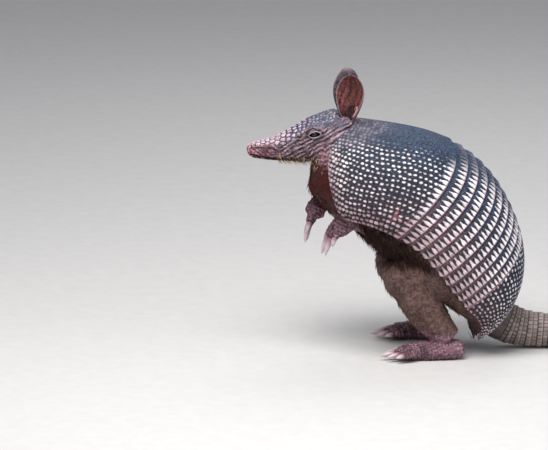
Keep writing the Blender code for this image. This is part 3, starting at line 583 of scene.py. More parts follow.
class ShellSettings(PropertyGroup):
    """Sizes and colours of the shell."""

    plates_across: IntProperty(
        name="Plates Across", description="Plates in one row of the shoulder shield", default=54, min=10)
    wedges: IntProperty(
        name="Wedges", description="Pale wedges along the rear of one band", default=54, min=10)
    plate_pitch: FloatProperty(
        name="Plate Row", description="Length of one row of plates, in millimetres", default=5.5, min=2.0)
    groove: FloatProperty(
        name="Groove", description="Depth of the grooves between plates, in millimetres",
        default=0.5, min=0.0)
    # The back's blue is partly painted sky reflection along the top of the shell.
    back: colour_property("Back", "Colour along the back", 27, 41, 64)
    slate: colour_property("Slate", "Colour between the spots", 22, 28, 48)
    flank: colour_property("Flank", "Colour near the lower edge", 62, 44, 46)
    # Pale blue flecks: partly the shell's own fine flecks, partly painted sky reflection, strongest along
    # the back.
    flecks_and_sky_reflection: colour_property("Haze", "Colour of the fine flecks along the back", 112, 134, 164)
    pale: colour_property("Pale", "Colour of the spots and wedges", 246, 238, 242)
    blush: colour_property("Blush", "Colour of the spots low on the flank", 196, 170, 178)
    rim: colour_property("Rim", "Colour of the bands' rear rims", 170, 132, 142)
    granule: colour_property("Granule", "Colour of the small plates at the front", 130, 116, 122)
    scar: colour_property("Scar", "Colour of healed scrapes", 196, 124, 130)


def shell_colour(s, across, pale, seam, rim, fleck):
    """Colours of the shell from where a point is and how much of each mark it carries."""
    share = np.abs(across)
    # The blue of the back and the pale blue flecks, stronger towards the back, are partly painted sky
    # reflection.
    base = layered(
        s.back,
        (s.slate, smooth(0.2, 0.5, share)),
        (s.flank, smooth(0.42, 0.88, share) * 0.9),
        (s.flecks_and_sky_reflection, fleck * (0.66 - 0.26 * smooth(0.25, 0.6, share))))
    spot = mix(s.pale, s.blush, smooth(0.6, 1.0, share))
    return layered(
        base,
        (base * 0.4, np.clip(seam, 0, 1)),
        (spot, np.clip(pale, 0, 1)),
        (s.rim, np.clip(rim, 0, 1)))


def flecks(surface, seed):
    """Fine pale flecks of the horny surface, from 0 to 1."""
    return smooth(0.3, 0.9, ripple(surface, 1.45, seed) + 0.7 * ripple(surface, 1.05, seed + 1))


def slab(name, places, columns, outer_lift, rim_rows, colour, replaces):
    """A closed piece of shell swept across the back.

    places and outer_lift hold the outer surface on its lattice, and rim_rows the rows that
    close it behind and below, each as a share of the way back, and a height."""
    across = np.linspace(-1, 1, columns)[None, :]
    along = line_at(places, across)
    rows = [trunk(along, across, outer_lift)]
    back_along = []
    for share, lift in rim_rows:
        place = places[0] + (places[-1] - places[0]) * share
        row = line_at(place[None, :], across)
        back_along.append(row)
        rows.append(trunk(row, across, lift))
    points = np.concatenate([row.reshape(-1, columns, 3) for row in rows])
    count = len(points)
    faces = lattice(count, columns, wrap_rows=True)
    outer = len(places)
    shares = [k / (outer - 1) for k in range(outer)]
    below = [(share, outer + k) for k, (share, _) in enumerate(rim_rows)]
    for end in (0, columns - 1):
        first = [(share, k * columns + end) for k, share in enumerate(shares)]
        second = [(share, row * columns + end) for share, row in sorted(below)]
        faces += stitched(first, second)
    all_along = np.concatenate([along] + back_along)
    colour = colour.reshape(*along.shape, 3)
    # The rows that close the piece behind and below take the rear row's colour at 0.6: painted shade, which
    # shows as a dark line under each rear rim.
    tint = np.concatenate((colour, np.repeat(colour[-1:] * 0.6, count - outer, 0)))
    lie = np.stack((np.broadcast_to(across, all_along.shape) * flank_mm(all_along), all_along), -1) * 0.01
    return new_piece(name, points, faces, "horny_plate", tint, lie, replaces)


def stitched(first, second):
    """Triangles between two rows of places and numbers of points, whatever their counts."""
    faces, i, j = [], 0, 0
    while i < len(first) - 1 or j < len(second) - 1:
        next_first = first[i + 1][0] if i < len(first) - 1 else math.inf
        next_second = second[j + 1][0] if j < len(second) - 1 else math.inf
        if next_first <= next_second:
            faces.append((first[i][1], first[i + 1][1], second[j][1]))
            i += 1
        else:
            faces.append((first[i][1], second[j + 1][1], second[j][1]))
            j += 1
    return faces


def rounded_edge(distance, radius):
    """How far a rounded edge has dropped at a distance from it."""
    inside = np.clip(distance, 0, radius)
    return radius - np.sqrt(radius**2 - (radius - inside) ** 2)


def scutes(front, plates, first, last, growth, draw):
    """Middles of a shield's plates, in lines that run back along the body, half a plate apart in turn."""
    share = np.linspace(0, 1, 160)
    found = []
    for j in range(plates):
        c = -1 + 2 * (j + 0.5) / plates
        line = trunk(line_at(front + share, c), c)
        reach = np.concatenate(([0], np.cumsum(np.linalg.norm(np.diff(line, axis=0), axis=1))))
        steps = pitches(reach[-1], first, last, growth)
        middles = np.cumsum(steps) - steps * (0.5 if j % 2 else 0.98)
        middles += draw.normal(0, 0.32, len(middles))
        at = front + np.interp(middles, reach, share)
        aside = c + draw.normal(0, 0.0032, len(middles))
        here = line_at(np.clip(at, front + 0.003, front + 0.997), aside)
        found.append(trunk(here, np.clip(aside, -0.995, 0.995)))
    return np.concatenate(found)


def shield_piece(name, front, plates, pitch, heading, s, replaces):
    """A shield of small plates, each with a pale button drawn out along the body."""
    length = PLACE_ALONG[PLACES.index(front + 1)] - PLACE_ALONG[PLACES.index(front)]
    rows, columns = LATTICES[name]
    share = np.linspace(0, 1, rows)[:, None]
    across = np.linspace(-1, 1, columns)[None, :]
    places = front + np.broadcast_to(share, (rows, columns))
    along = line_at(places, across)
    surface = trunk(along, across).reshape(-1, 3)
    draw = np.random.default_rng(40 + front)
    centres = scutes(front, plates, *pitch, draw)
    way = np.array((math.cos(heading), 0, -math.sin(heading)))

    def drawn_out(points):
        return points - np.outer(points @ way, way) * (1 - 1 / (1.5 if front == 0 else 1.9))

    nearest, first, second = cells(drawn_out(surface), drawn_out(centres))
    vary = draw.uniform(0, 1, len(centres))[nearest]
    flat_across = spread_flat(np.abs(across), along.shape)
    flat_share = spread_flat(share, along.shape)
    starts, ends = (0.27, 0.43) if front == 0 else (0.02, 0.28)
    show = smooth(starts, ends, flat_across + 0.05 * (vary - 0.5))
    plate = smooth(0.1, 1.0, second - first)
    fore = smooth(0.44, 0.16, flat_share + 0.24 * smooth(0.32, 0.55, flat_across)) * (front == 0)
    edge_mm = (1 - flat_across) * flank_mm(along.ravel())
    ahead_mm = flat_share * length + 50 * smooth(0.58, 0.42, flat_across)
    margin = smooth(27, 9, np.minimum(edge_mm, ahead_mm)) * (front == 0)
    size = (0.42 + 0.44 * show) * (0.78 + 0.4 * vary) * (1 + 0.55 * margin)
    reach = first + 0.26 * ripple(surface, 1.9, 91)
    button = smooth(size + 0.32, size - 0.2, reach) * smooth(0.0, 0.6, second - first)
    filled = np.maximum(margin * 0.3, fore) * smooth(0.2, 1.0, second - first) * (0.15 + 0.65 * vary)
    ring = hump(reach - size - 0.75, 0.4)
    show = show * (0.72 + 0.28 * vary) * (1 - 0.55 * fore)
    height = -s.groove * (1 - plate) * (0.4 + 0.6 * show) + 0.34 * button * show - 0.16 * ring * show
    height += 0.12 * (vary - 0.5) * plate
    fleck = flecks(surface, 92 + front)
    height += 0.10 * (fleck - 0.4)
    rear = smooth(0.9, 0.955, flat_share) * (front == 0)
    pale = button * show
    seam = (1 - plate) * 0.7 + 0.55 * ring * show * (1 - margin)
    if front == 0:
        signed = spread_flat(across, along.shape)
        pale, height, seam = wedge_row(s, flat_share, signed, rear, pale, height, seam)
    front_mm, rear_mm = flat_share * length, (1 - flat_share) * length
    drop = rounded_edge(edge_mm, 1.8) + rounded_edge(front_mm, 1.8) + rounded_edge(rear_mm, 0.8)
    rim = smooth(1.9, 0.7, edge_mm) * 0.7 + smooth(2.2, 0.9, front_mm) * smooth(0.45, 0.7, flat_across) * 0.7
    if front == 0:
        rim = rim + smooth(1.7, 1.0, rear_mm) * smooth(0.25, 0.45, flat_across) * 0.9
    colour = shell_colour(s, flat_across, pale, seam, rim, fleck)
    colour = mix(colour, s.granule, filled * (1 - pale))
    colour = colour * (1 - (0.28, 0.38, 0.38) * (margin * (1 - 0.45 * pale))[:, None])
    colour = colour * (0.84 + 0.3 * vary[:, None]) * speckled(len(colour), 0.4, 60 + front)
    scar = scar_marks(surface) * (front == 0)
    colour = mix(colour, s.scar, 0.42 * scar * (0.6 + 0.4 * plate))
    lift = np.maximum(height - drop, -SHELL_THICK + 0.4).reshape(rows, columns)
    return slab(name, places, columns, lift, SHIELD_RIM, colour, replaces)


def wedge_marks(s, across, reach, tip, draw):
    """How much each point is inside a wedge, how near a wedge's edge, and which wedge."""
    at = across * s.wedges / 2
    index = np.floor(at).astype(int)
    centre = draw.normal(0, 0.035, 4 * s.wedges)[index % (4 * s.wedges)]
    tips = tip + draw.uniform(-0.15, 0.09, 4 * s.wedges)[index % (4 * s.wedges)]
    off = np.abs(at - index - 0.5 - centre) + 0.05 * np.sin(reach * 9 + index * 2.3)
    widest = draw.uniform(0.37, 0.47, 4 * s.wedges)[index % (4 * s.wedges)]
    half = widest * np.clip((reach - tips) / (1 - tips), 0, 1) ** 0.72
    inside = smooth(-0.05, 0.05, half - off) * smooth(0.0, 0.05, half)
    edge = hump(half - off + 0.05, 0.06) * (reach > tips - 0.05)
    return inside, edge, index


def wedge_row(s, share, across, rear, pale, height, seam):
    """The last row of the shoulder shield, whose spots draw out into wedges."""
    draw = np.random.default_rng(7)
    reach = np.clip((share - 0.9) / 0.1, 0, 1)
    inside, edge, _ = wedge_marks(s, across, reach, 0.05, draw)
    show = smooth(0.26, 0.45, np.abs(across))
    pale = pale * (1 - rear) + inside * rear * show
    height = height * (1 - rear) + rear * (0.35 * inside - 0.2 * edge)
    seam = seam * (1 - rear) + rear * edge * 0.5
    return pale, height, seam


def band_piece(name, band, s):
    """A band that comes out from under the piece before it, with wedges up to its thick rear rim."""
    rows, columns = LATTICES["band"]
    reach = np.linspace(BAND_REACH[0], 1, rows)[:, None]
    across = np.linspace(-1, 1, columns)[None, :]
    share = np.abs(across)
    end_mm = (1 - share) * 125.0
    pinch = np.sqrt(1 - np.clip(1 - end_mm / BAND_LOWER_END, 0, 0.97) ** 2)
    drawn = 0.46 + (reach - 0.46) * np.where(reach > 0.46, pinch, 0.35 + 0.65 * pinch)
    places = band + np.minimum(drawn, 1.0) * 0.985
    lift = np.interp(reach, BAND_REACH, BAND_HEIGHT)
    flat_reach, flat_across = spread_flat(reach, (rows, columns)), spread_flat(across, (rows, columns))
    draw = np.random.default_rng(band)
    show = smooth(0.2 - 0.017 * band, 0.42 - 0.022 * band, np.abs(flat_across))
    low = smooth(0.5, 0.95, np.abs(flat_across))
    tips = 0.46 - 0.10 * show - 0.17 * low
    inside, edge, index = wedge_marks(s, flat_across, flat_reach, tips, draw)
    vary = draw.uniform(0, 1, 4 * s.wedges)[index % (4 * s.wedges)]
    wander = ripple(np.column_stack((flat_across * 40, flat_reach * 3, flat_reach * 0)), 5, band)
    lines = 0.5 + 0.5 * np.sin(flat_across * s.wedges / 2 * 2 * np.pi * 2.6 + 2.6 * wander)
    surface = trunk(line_at(places, across), across).reshape(-1, 3)
    fleck = flecks(surface, 120 + band)
    strip = smooth(tips + 0.16, tips - 0.06, flat_reach)
    between = (1 - strip) * (1 - inside)
    height = 0.42 * inside - 0.26 * edge - 0.16 * strip * (1 - lines) - 0.3 * between + 0.08 * (fleck - 0.4)
    pale = inside * (show * 0.9 + 0.1) * (0.84 + 0.16 * lines) * smooth(1.02, 0.95, flat_reach)
    seam = 0.75 * edge * (1 - strip) + 0.55 * strip * (1 - lines) + 0.45 * between
    rim = smooth(0.93, 0.955, flat_reach) * (0.3 + 0.7 * show)
    thin = hump(flat_reach - 0.925, 0.013)
    stain = smooth(0.1, 0.9, ripple(surface, 8, 140 + band)) * (0.15 + 0.5 * low)
    colour = layered(
        shell_colour(s, flat_across, pale, seam, rim, fleck),
        (np.array(s.blush) * (0.62, 0.5, 0.52), 0.85 * low * (1 - inside) * strip * (0.3 + 0.7 * lines)),
        # Pale blue streaks on the upper bands' strips: partly painted sky reflection.
        (s.flecks_and_sky_reflection, 0.35 * show * (1 - low) * strip * lines**3))
    colour = colour * (1 - 0.7 * 0.8 * thin[:, None]) * (1 - (0.38, 0.54, 0.54) * stain[:, None])
    colour = colour * (0.76 + 0.38 * vary[:, None]) * speckled(len(colour), 0.34, 80 + band)
    height = height - 0.25 * thin
    edge_drop = rounded_edge(end_mm, 2.0)
    full = lift + height.reshape(rows, columns) * pinch - edge_drop
    full = np.maximum(full, -SHELL_THICK + 0.5)
    return slab(name, places, columns, full, BAND_RIM, colour, [f"shell_{name}"])


def speckled(count, amount, seed):
    """A brightness for each point, scattered about 1."""
    return 1 + amount * np.random.default_rng(seed).normal(0, 0.5, count).clip(-1.2, 1.2)[:, None]


def scar_marks(surface):
    """Healed scrapes low on the near side of the shoulder shield."""
    found = np.zeros(len(surface))
    for x, z, long, wide, lean in SCARS:
        off = surface[:, [0, 2]] - (x, z)
        along = off[:, 0] * math.cos(lean) + off[:, 1] * math.sin(lean)
        side = off[:, 1] * math.cos(lean) - off[:, 0] * math.sin(lean)
        reach = np.hypot(along / long, side / wide) + 0.4 * ripple(surface, 3.5, int(long * 10))
        found = np.maximum(found, smooth(1.05, 0.6, reach) * (surface[:, 1] < 0))
    return found


def pitches(total, first, last, growth):
    """Lengths of rows that change from first to last and fill the total."""
    steps = []
    size = first
    while sum(steps) < total - 0.5 * size:
        steps.append(size)
        size = min(last, size * growth) if growth > 1 else max(last, size * growth)
    return np.array(steps) * total / sum(steps)


class ARMADILLO_OT_shields(Operator):
    """Model the shoulder shield and the rump shield with all their plates"""

    bl_idname = "armadillo.shields"
    bl_label = "Shields"

    def execute(self, context):
        s = context.scene.armadillo_shell
        shield_piece("shoulder_shield", 0, s.plates_across, (3.5, s.plate_pitch, 1.04),
                     math.radians(20), s, ["shell_scapular"])
        shield_piece("rump_shield", 10, s.plates_across - 6, (s.plate_pitch, 4.4, 0.99),
                     math.radians(62), s, ["shell_pelvic"])
        return {"FINISHED"}


class ARMADILLO_OT_bands(Operator):
    """Model the nine overlapping bands with their rows of wedges"""

    bl_idname = "armadillo.bands"
    bl_label = "Bands"

    def execute(self, context):
        for band in range(1, BAND_COUNT + 1):
            band_piece(f"band_{band}", band, context.scene.armadillo_shell)
        return {"FINISHED"}


class SkinSettings(PropertyGroup):
    """Fineness and colours of the skin."""

    voxel: FloatProperty(
        name="Voxel", description="Size of the skin's faces, in millimetres", default=1.6, min=0.8)
    smoothing: IntProperty(
        name="Smoothing", description="Rounds of smoothing where parts of the body meet", default=6, min=0)
    body: colour_property("Body", "Colour of the belly and legs", 84, 62, 58)
    face: colour_property("Face", "Colour of the snout's sides", 98, 69, 76)
    cheek: colour_property("Cheek", "Colour of the folded cheeks", 148, 126, 138)
    nape: colour_property("Nape", "Colour behind the ears", 140, 124, 134)
    nose: colour_property("Nose", "Colour of the snout's tip", 158, 98, 110)
    # The throat's colour is very dark: the throat's own red-brown with painted shade. It also paints the
    # shadow under the jaw.
    throat: colour_property("Throat", "Colour of the throat", 58, 12, 6)
    # Painted shade deep in the cheek's folds. The same dark colour also paints the dark marks under the eye
    # and on the snout, and the painted shade along the jaw.
    fold: colour_property("Fold", "Colour deep in the cheek's folds", 40, 27, 28)
    # The paws' colour is darkened with painted shade, taken from the far hand lying in shade; both paws use
    # it.
    paw_and_shade: colour_property("Paw", "Colour of the paws", 116, 84, 94)
    paw_fleck: colour_property("Paw Fleck", "Colour of the pale flecks on the paws", 178, 144, 158)
    face_fleck: colour_property("Face Fleck", "Colour of pale flecks on the snout's sides", 196, 166, 182)
    # Painted highlight on top of the cheek's folds.
    ridge_highlight: colour_property("Ridge", "Colour on top of the cheek's folds", 186, 164, 180)
    brow: colour_property("Brow", "Colour of the skin beside the crown's plates", 82, 84, 102)
    leg_scale: colour_property("Leg Scale", "Colour of the small scales on the hind legs", 128, 104, 98)


def swept(joints, sides, steps, floor=None, squash=1.0, inset=0.0):
    """Rings of points round a limb through joints, each a place and a radius."""
    joints = np.asarray(joints, float)
    row = blend(numbered(joints), np.linspace(0, len(joints) - 1, (len(joints) - 1) * steps + 1))
    middle, radius = row[:, 1:4], np.maximum(row[:, 4] - inset, 0.3)
    ahead = unit(np.gradient(middle, axis=0))
    steep = np.abs(ahead[:, 2:]) >= 0.9
    aside = unit(np.cross(ahead, np.where(steep, (1.0, 0, 0), (0, 0, 1.0))))
    if np.any(steep) and not np.all(steep):
        aside = unit(np.cross(ahead, (1.0, 0, 0) if steep.mean() > 0.5 else (0, 0, 1.0)))
    up = np.cross(aside, ahead)
    turn = 2 * np.pi * (np.arange(sides) + 0.5) / sides
    way = aside[:, None] * np.cos(turn)[:, None] * squash + up[:, None] * np.sin(turn)[:, None]
    points = middle[:, None] + way * radius[:, None, None]
    if floor is not None:
        points[..., 2] = np.maximum(points[..., 2], floor)
    return points


def closed_tube(rings):
    """Points and faces of a tube through rings, closed at both ends."""
    rows, columns = rings.shape[:2]
    faces = lattice(rows, columns, wrap_columns=True)
    faces += [list(range(columns - 1, -1, -1)), list(range((rows - 1) * columns, rows * columns))]
    return rings.reshape(-1, 3), faces


def outwards(joints, side):
    """Joints with their y turned to the side."""
    joints = np.array(joints, float)
    joints[:, 1] *= side
    return joints


def head_rows(place):
    """Middle, half height and half width of the head at each place along its rows."""
    row = blend(numbered(HEAD), place)
    top = np.column_stack((row[:, 1], 0 * row[:, 1], row[:, 2]))
    low = np.column_stack((row[:, 3], 0 * row[:, 1], row[:, 4]))
    return (top + low) / 2, (top - low) / 2, row[:, 5]


def head_point(place, turn, lift=0.0):
    """Points on the head: turn is 0 on top, positive down the right side."""
    place, turn = np.broadcast_arrays(np.asarray(place, float), np.asarray(turn, float))
    centre, half, width = head_rows(place.ravel())
    shape = place.shape
    centre, half = centre.reshape(*shape, 3), half.reshape(*shape, 3)
    width = width.reshape(shape)
    power = 2 / HEAD_SQUARENESS
    up = np.sign(np.cos(turn)) * np.abs(np.cos(turn)) ** power
    out = np.sign(np.sin(turn)) * np.abs(np.sin(turn)) ** power
    point = centre + half * up[..., None]
    point[..., 1] += width * out
    way = unit(point - centre)
    return point + way * np.asarray(lift)[..., None]


def neck_rings(count, steps, inset):
    """Rings from the back of the head to the front of the trunk."""
    turn = around(count)
    last = head_point(len(HEAD) - 1.0, turn)
    k = np.where(turn <= np.pi, turn, 2 * np.pi - turn) / np.pi * 11
    share = np.where(k <= 7, k / 7, 1 + (k - 7) * 0.25) * np.where(turn <= np.pi, 1, -1)
    root = trunk(TORSO_FRONT, share, -FLESH_DEPTH - 1.0)
    rings = []
    for s in np.linspace(0, 1, steps):
        ring = last * (1 - s) + root * s
        middle = ring.mean(0)
        waist = 1 - NECK_WAIST * math.sin(math.pi * s) - NECK_INSET * s - inset / 50
        rings.append(middle + (ring - middle) * waist)
    return np.array(rings)


def flesh_parts(inset):
    """Closed shapes that overlap and together fill the flesh."""
    parts = []
    across = np.linspace(-2, 2, 181)[:-1]
    places = np.linspace(0.06, 10.93, 90)
    body = [trunk(TORSO_FRONT, across, -FLESH_DEPTH - 1.0 - inset)]
    body += [trunk(line_at(place, across), across, -FLESH_DEPTH - inset) for place in places]
    parts.append(closed_tube(np.array(body)))
    place = np.linspace(0, len(HEAD) - 1, 80)[:, None]
    parts.append(closed_tube(head_point(place, around(96), -inset)))
    parts.append(closed_tube(neck_rings(96, 24, inset)))
    for word, side in SIDES.items():
        parts.append(closed_tube(swept(outwards(FORE_LEGS[word], side), 40, 14, inset=inset)))
        for rings in fore_foot_rings(word, side, inset) + hind_foot_rings(side, inset):
            parts.append(closed_tube(rings))
        for joints in (THIGH, SHANK):
            parts.append(closed_tube(swept(outwards(joints, side), 48, 14, inset=inset)))
        parts.append(round_lump(outwards([KNEE], side)[0], inset))
        parts.append(closed_tube(swept(outwards(EAR_BED, side), 40, 14, inset=inset)))
    parts.append(closed_tube(swept(NAPE, 48, 14, squash=NAPE_SQUASH, inset=inset)))
    return parts


def round_lump(ball, inset):
    """A ball as a place and a radius, closed at its poles."""
    lean = np.linspace(0.05, math.pi - 0.05, 24)[:, None]
    turn = around(40)
    way = np.stack((np.sin(lean) * np.cos(turn), np.sin(lean) * np.sin(turn),
                    np.cos(lean) + 0 * turn), -1)
    return closed_tube(ball[:3] + way * (ball[3] - inset))


def fore_fingers(word, side):
    """For each finger of a forefoot its start, end, radius and direction."""
    _, knuckle, tip = outwards(FORE_FEET[word], side)
    down = unit(tip - knuckle)
    aside = unit(np.array((0.25, side, 0.0)))
    found = []
    for k in range(len(FORE_CLAWS)):
        spread = (k - 1.5) / 1.5
        inner = 1 - abs(spread)
        start = knuckle + aside * spread * FINGER_SPREAD - down * FINGER_ROOT
        way = unit(down + aside * spread * FINGER_SPLAY)
        end = start + way * (FINGER_LENGTHS[0] + (FINGER_LENGTHS[1] - FINGER_LENGTHS[0]) * inner)
        found.append((start, end, FINGER_RADII[0] + (FINGER_RADII[1] - FINGER_RADII[0]) * inner, way))
    return found


def hind_toes(side):
    """For each toe of a hind foot its start, end, radius and direction."""
    heel, toes = HIND_HEEL * (1, side, 1), HIND_TOES * (1, side, 1)
    ahead = unit(toes - heel)
    aside = np.array((0, side, 0.0))
    found = []
    for k in range(len(HIND_CLAWS)):
        spread = (k - 2) / 2
        start = toes + aside * spread * TOE_SPREAD - ahead * (TOE_ROOT + TOE_SETBACK * abs(spread))
        way = unit(ahead + aside * spread * TOE_SPLAY + (0, 0, TOE_DROP))
        end = start + way * (TOE_LENGTH - TOE_SHORTENS * abs(spread))
        found.append((start, end, TOE_RADII[1] + (TOE_RADII[0] - TOE_RADII[1]) * abs(spread), way))
    return found


def toe_rings(start, end, radius, swell, inset, floor=None):
    """Rings of a finger or toe, thicker at its start and rounded at its end."""
    joints = [(*start, radius + swell), (*(start * 0.4 + end * 0.6), radius + 0.6 * swell), (*end, radius)]
    rings = swept(joints, 28, 12, floor=floor, inset=inset)
    tip, before = rings[-1].mean(0), rings[-1]
    way = unit(end - start)
    round_end = [tip + (before - tip) * s + way * 0.5 * radius * (1 - s) ** 0.8 for s in (0.85, 0.6, 0.3)]
    rounded = np.array(round_end) - way * 0.5
    if floor is not None:
        rounded[..., 2] = np.maximum(rounded[..., 2], floor)
    return np.concatenate((rings[:-1], rounded))


def fore_foot_rings(word, side, inset):
    """Rings of a forefoot's palm and of each finger."""
    wrist, knuckle, _ = outwards(FORE_FEET[word], side)
    palm = [(*at, r) for at, r in zip((wrist, (wrist + knuckle) / 2, knuckle), PALM_RADII)]
    rings = [swept(palm, 40, 12, squash=PALM_SQUASH, inset=inset)]
    return rings + [toe_rings(start, end, r, 0.8, inset) for start, end, r, _ in fore_fingers(word, side)]


def hind_foot_rings(side, inset):
    """Rings of a hind foot's sole and of each toe."""
    heel, toes = HIND_HEEL * (1, side, 1), HIND_TOES * (1, side, 1)
    sole = [(*(heel * (1 - share) + toes * share), r) for share, r in SOLE]
    rings = [swept(sole, 48, 8, floor=0.2, squash=SOLE_SQUASH, inset=inset)]
    return rings + [toe_rings(start, end, r, 0.6, inset, 0.2) for start, end, r, _ in hind_toes(side)]


def path_near(points, path):
    """Each point's distance to a path of points, and how far along it, from 0 to 1."""
    best = np.full(len(points), np.inf)
    where = np.zeros(len(points))
    count = len(path) - 1
    for k in range(count):
        a, b = path[k], path[k + 1]
        u = np.clip((points - a) @ (b - a) / max((b - a) @ (b - a), 1e-9), 0, 1)
        d = np.linalg.norm(points - (a + u[:, None] * (b - a)), axis=1)
        closer = d < best
        best[closer] = d[closer]
        where[closer] = (k + u[closer]) / count
    return best, where


def from_hands(points):
    """Each point's distance to the nearer forefoot."""
    near = [path_near(points, outwards(FORE_FEET[word], side))[0] for word, side in SIDES.items()]
    return np.minimum(*near)


def mouth_path(side):
    """The line of the mouth along one side of the head."""
    row = blend(numbered(MOUTH), np.linspace(0, len(MOUTH) - 1, 40))
    centre, half, width = head_rows(row[:, 1])
    up = row[:, 2] / np.linalg.norm(half, axis=1) - 1
    out = (1 - np.abs(up) ** HEAD_SQUARENESS) ** (1 / HEAD_SQUARENESS)
    point = centre + half * up[:, None]
    point[:, 1] += side * width * out
    return point


def finger_marks(points):
    """How deep each point is in a crease across a finger or toe, or in the gap between two."""
    crease, gap = np.zeros(len(points)), np.zeros(len(points))
    for word, side in SIDES.items():
        for toes in (fore_fingers(word, side), hind_toes(side)):
            found = [path_near(points, np.array((start - 6 * way, end + 2 * way)))
                     for start, end, _, way in toes]
            apart = np.array([near for near, _ in found])
            first, second = np.sort(apart, axis=0)[:2]
            where = np.choose(apart.argmin(0), [share for _, share in found])
            gap = np.maximum(gap, (first < 8) * smooth(1.5, 0.2, second - first) * smooth(0.2, 0.4, where))
            crease = np.maximum(crease, (first < 8) * smooth(0.4, 1.0, np.cos(2 * np.pi * 6 * where)))
    return crease, gap


def joined(parts):
    """One list of points and one of faces from several."""
    points, faces, count = [], [], 0
    for part_points, part_faces in parts:
        points.append(part_points)
        faces += [[k + count for k in face] for face in part_faces]
        count += len(part_points)
    return np.concatenate(points), faces


def use_modifier(piece, kind, **settings):
    """Adds a modifier with its settings and applies it."""
    modifier = piece.modifiers.new(kind.title(), kind)
    for key, value in settings.items():
        setattr(modifier, key, value)
    bpy.ops.object.select_all(action="DESELECT")
    piece.select_set(True)
    bpy.context.view_layer.objects.active = piece
    bpy.ops.object.modifier_apply(modifier=modifier.name)


def read(rows, key, width=3):
    """One value of each row of a mesh, such as its points or the normals of its faces."""
    values = np.empty(width * len(rows))
    rows.foreach_get(key, values)
    return values.reshape(-1, width) if width > 1 else values


def trunk_share(points):
    """For each point the nearest place on the trunk: along, across, and height over its surface."""
    step_a, step_c = 4, 5
    table = TRUNK_POINTS[::step_a, ::step_c]
    tree = point_tree(table.reshape(-1, 3))
    index = np.array([tree.find(point)[1] for point in points.tolist()])
    i, j = index // table.shape[1] * step_a, index % table.shape[1] * step_c
    height = ((points - TRUNK_POINTS[i, j]) * TRUNK_NORMALS[i, j]).sum(1)
    return ALONG[i], ACROSS[j], height


def fine_skin(s):
    """One closed skin over all the flesh, finer on the head and paws, coarse where the shell hides it."""
    points, faces = joined(flesh_parts(0.35))
    mesh = bpy.data.meshes.new("skin")
    mesh.from_pydata((points * MM).tolist(), [], faces)
    piece = bpy.data.objects.new("skin", mesh)
    bpy.context.scene.collection.objects.link(piece)
    use_modifier(piece, "REMESH", mode="VOXEL", voxel_size=s.voxel * MM)
    use_modifier(piece, "SMOOTH", factor=0.5, iterations=s.smoothing)
    points = read(piece.data.vertices, "co") / MM
    _, across, height = trunk_share(points)
    hidden = (np.abs(across) < 0.9) & (height < -2.5) & (height > -14) & (points[:, 0] > -60)
    group = piece.vertex_groups.new(name="Hidden")
    group.add(np.nonzero(hidden)[0].tolist(), 1.0, "REPLACE")
    share = hidden.mean()
    use_modifier(piece, "DECIMATE", ratio=1 - 0.85 * share, vertex_group="Hidden")
    piece.vertex_groups.clear()
    bm = bmesh.new()
    bm.from_mesh(piece.data)
    middles = np.array([face.calc_center_median() for face in bm.faces]) / MM
    x, _, z = middles.T
    hands = from_hands(middles) < 20
    fine = (x < HEAD_END) & (z > 188) | (x < -66) & (z > 205) | (z < 19) & (x < 10) | hands
    edges = list({edge for face, keep in zip(bm.faces, fine) if keep for edge in face.edges})
    bmesh.ops.subdivide_edges(bm, edges=edges, cuts=1, use_grid_fill=True)
    bmesh.ops.triangulate(bm, faces=[face for face in bm.faces if len(face.verts) > 4])
    bm.to_mesh(piece.data)
    bm.free()
    return piece


def cheek_folds(points):
    """Ridges that run up and back over the cheeks, and the finer dark strokes between them."""
    x, y, z = points.T
    noise = 0.24 * ripple(points, 24, 3) + 0.16 * ripple(points, 8, 4)
    fold = 0.5 + 0.5 * np.cos(2 * np.pi * ((-0.50 * x + 0.86 * z) / 3.9 + noise))
    drawn = np.column_stack((0.25 * (0.86 * x + 0.50 * z), 0.6 * y, 0.86 * z - 0.50 * x))
    return fold, smooth(0.0, 0.7, ripple(drawn, 2.9, 45))


def skin_marks(points):
    """How much each point is head, neck, paw, cheek or scaly thigh, and carries folds and pebbles."""
    x, y, z = points.T
    m = SimpleNamespace(out=np.abs(y))
    m.head = smooth(HEAD_END, -94, x) * smooth(186, 196, z)
    m.neck = smooth(-100, HEAD_END, x) * smooth(-40, -58, x) * smooth(150, 175, z)
    m.paws = np.zeros(len(points))
    for word, side in SIDES.items():
        wrist, knuckle, tip = outwards(FORE_FEET[word], side)
        near, _ = path_near(points, np.array((wrist, knuckle, tip + (tip - knuckle) * 0.6)))
        m.paws = np.maximum(m.paws, smooth(17, 12, near))
        near, _ = path_near(points, np.array((HIND_HEEL, HIND_TOES + (-18, 0, 0))) * (1, side, 1))
        m.paws = np.maximum(m.paws, smooth(24, 17, near))
    m.scaly = smooth(100, 84, z) * smooth(-60, -40, x) * smooth(10, 18, m.out) * (1 - m.paws)
    top = 226 + 13 * smooth(-112, -98, x)
    off_eye = np.hypot(x - EYE_SEEN[0], (z - EYE_SEEN[2]) * 1.3)
    m.cheek = (smooth(-158, -142, x) * smooth(-60, -76, x) * smooth(top + 4, top - 5, z)
               * smooth(6, 11, m.out) * smooth(176, 190, z) * smooth(5.5, 8, off_eye))
    m.fold, strokes = cheek_folds(points)
    m.strokes = strokes * m.head
    m.broken = 0.55 + 0.45 * smooth(-0.6, 0.4, ripple(points, 9, 44))
    # The troughs of the cheek's folds, darkened as painted shade, and the fine dark strokes.
    m.folds = np.maximum(m.cheek * m.broken * smooth(0.78, 0.25, m.fold),
                         0.75 * m.strokes * smooth(6, 11, m.out))
    spread = np.random.default_rng(11).permutation(len(points))[: len(points) // 8]
    _, first, second = cells(points, points[spread])
    m.pebble = smooth(0.0, 0.9, second - first)
    return m


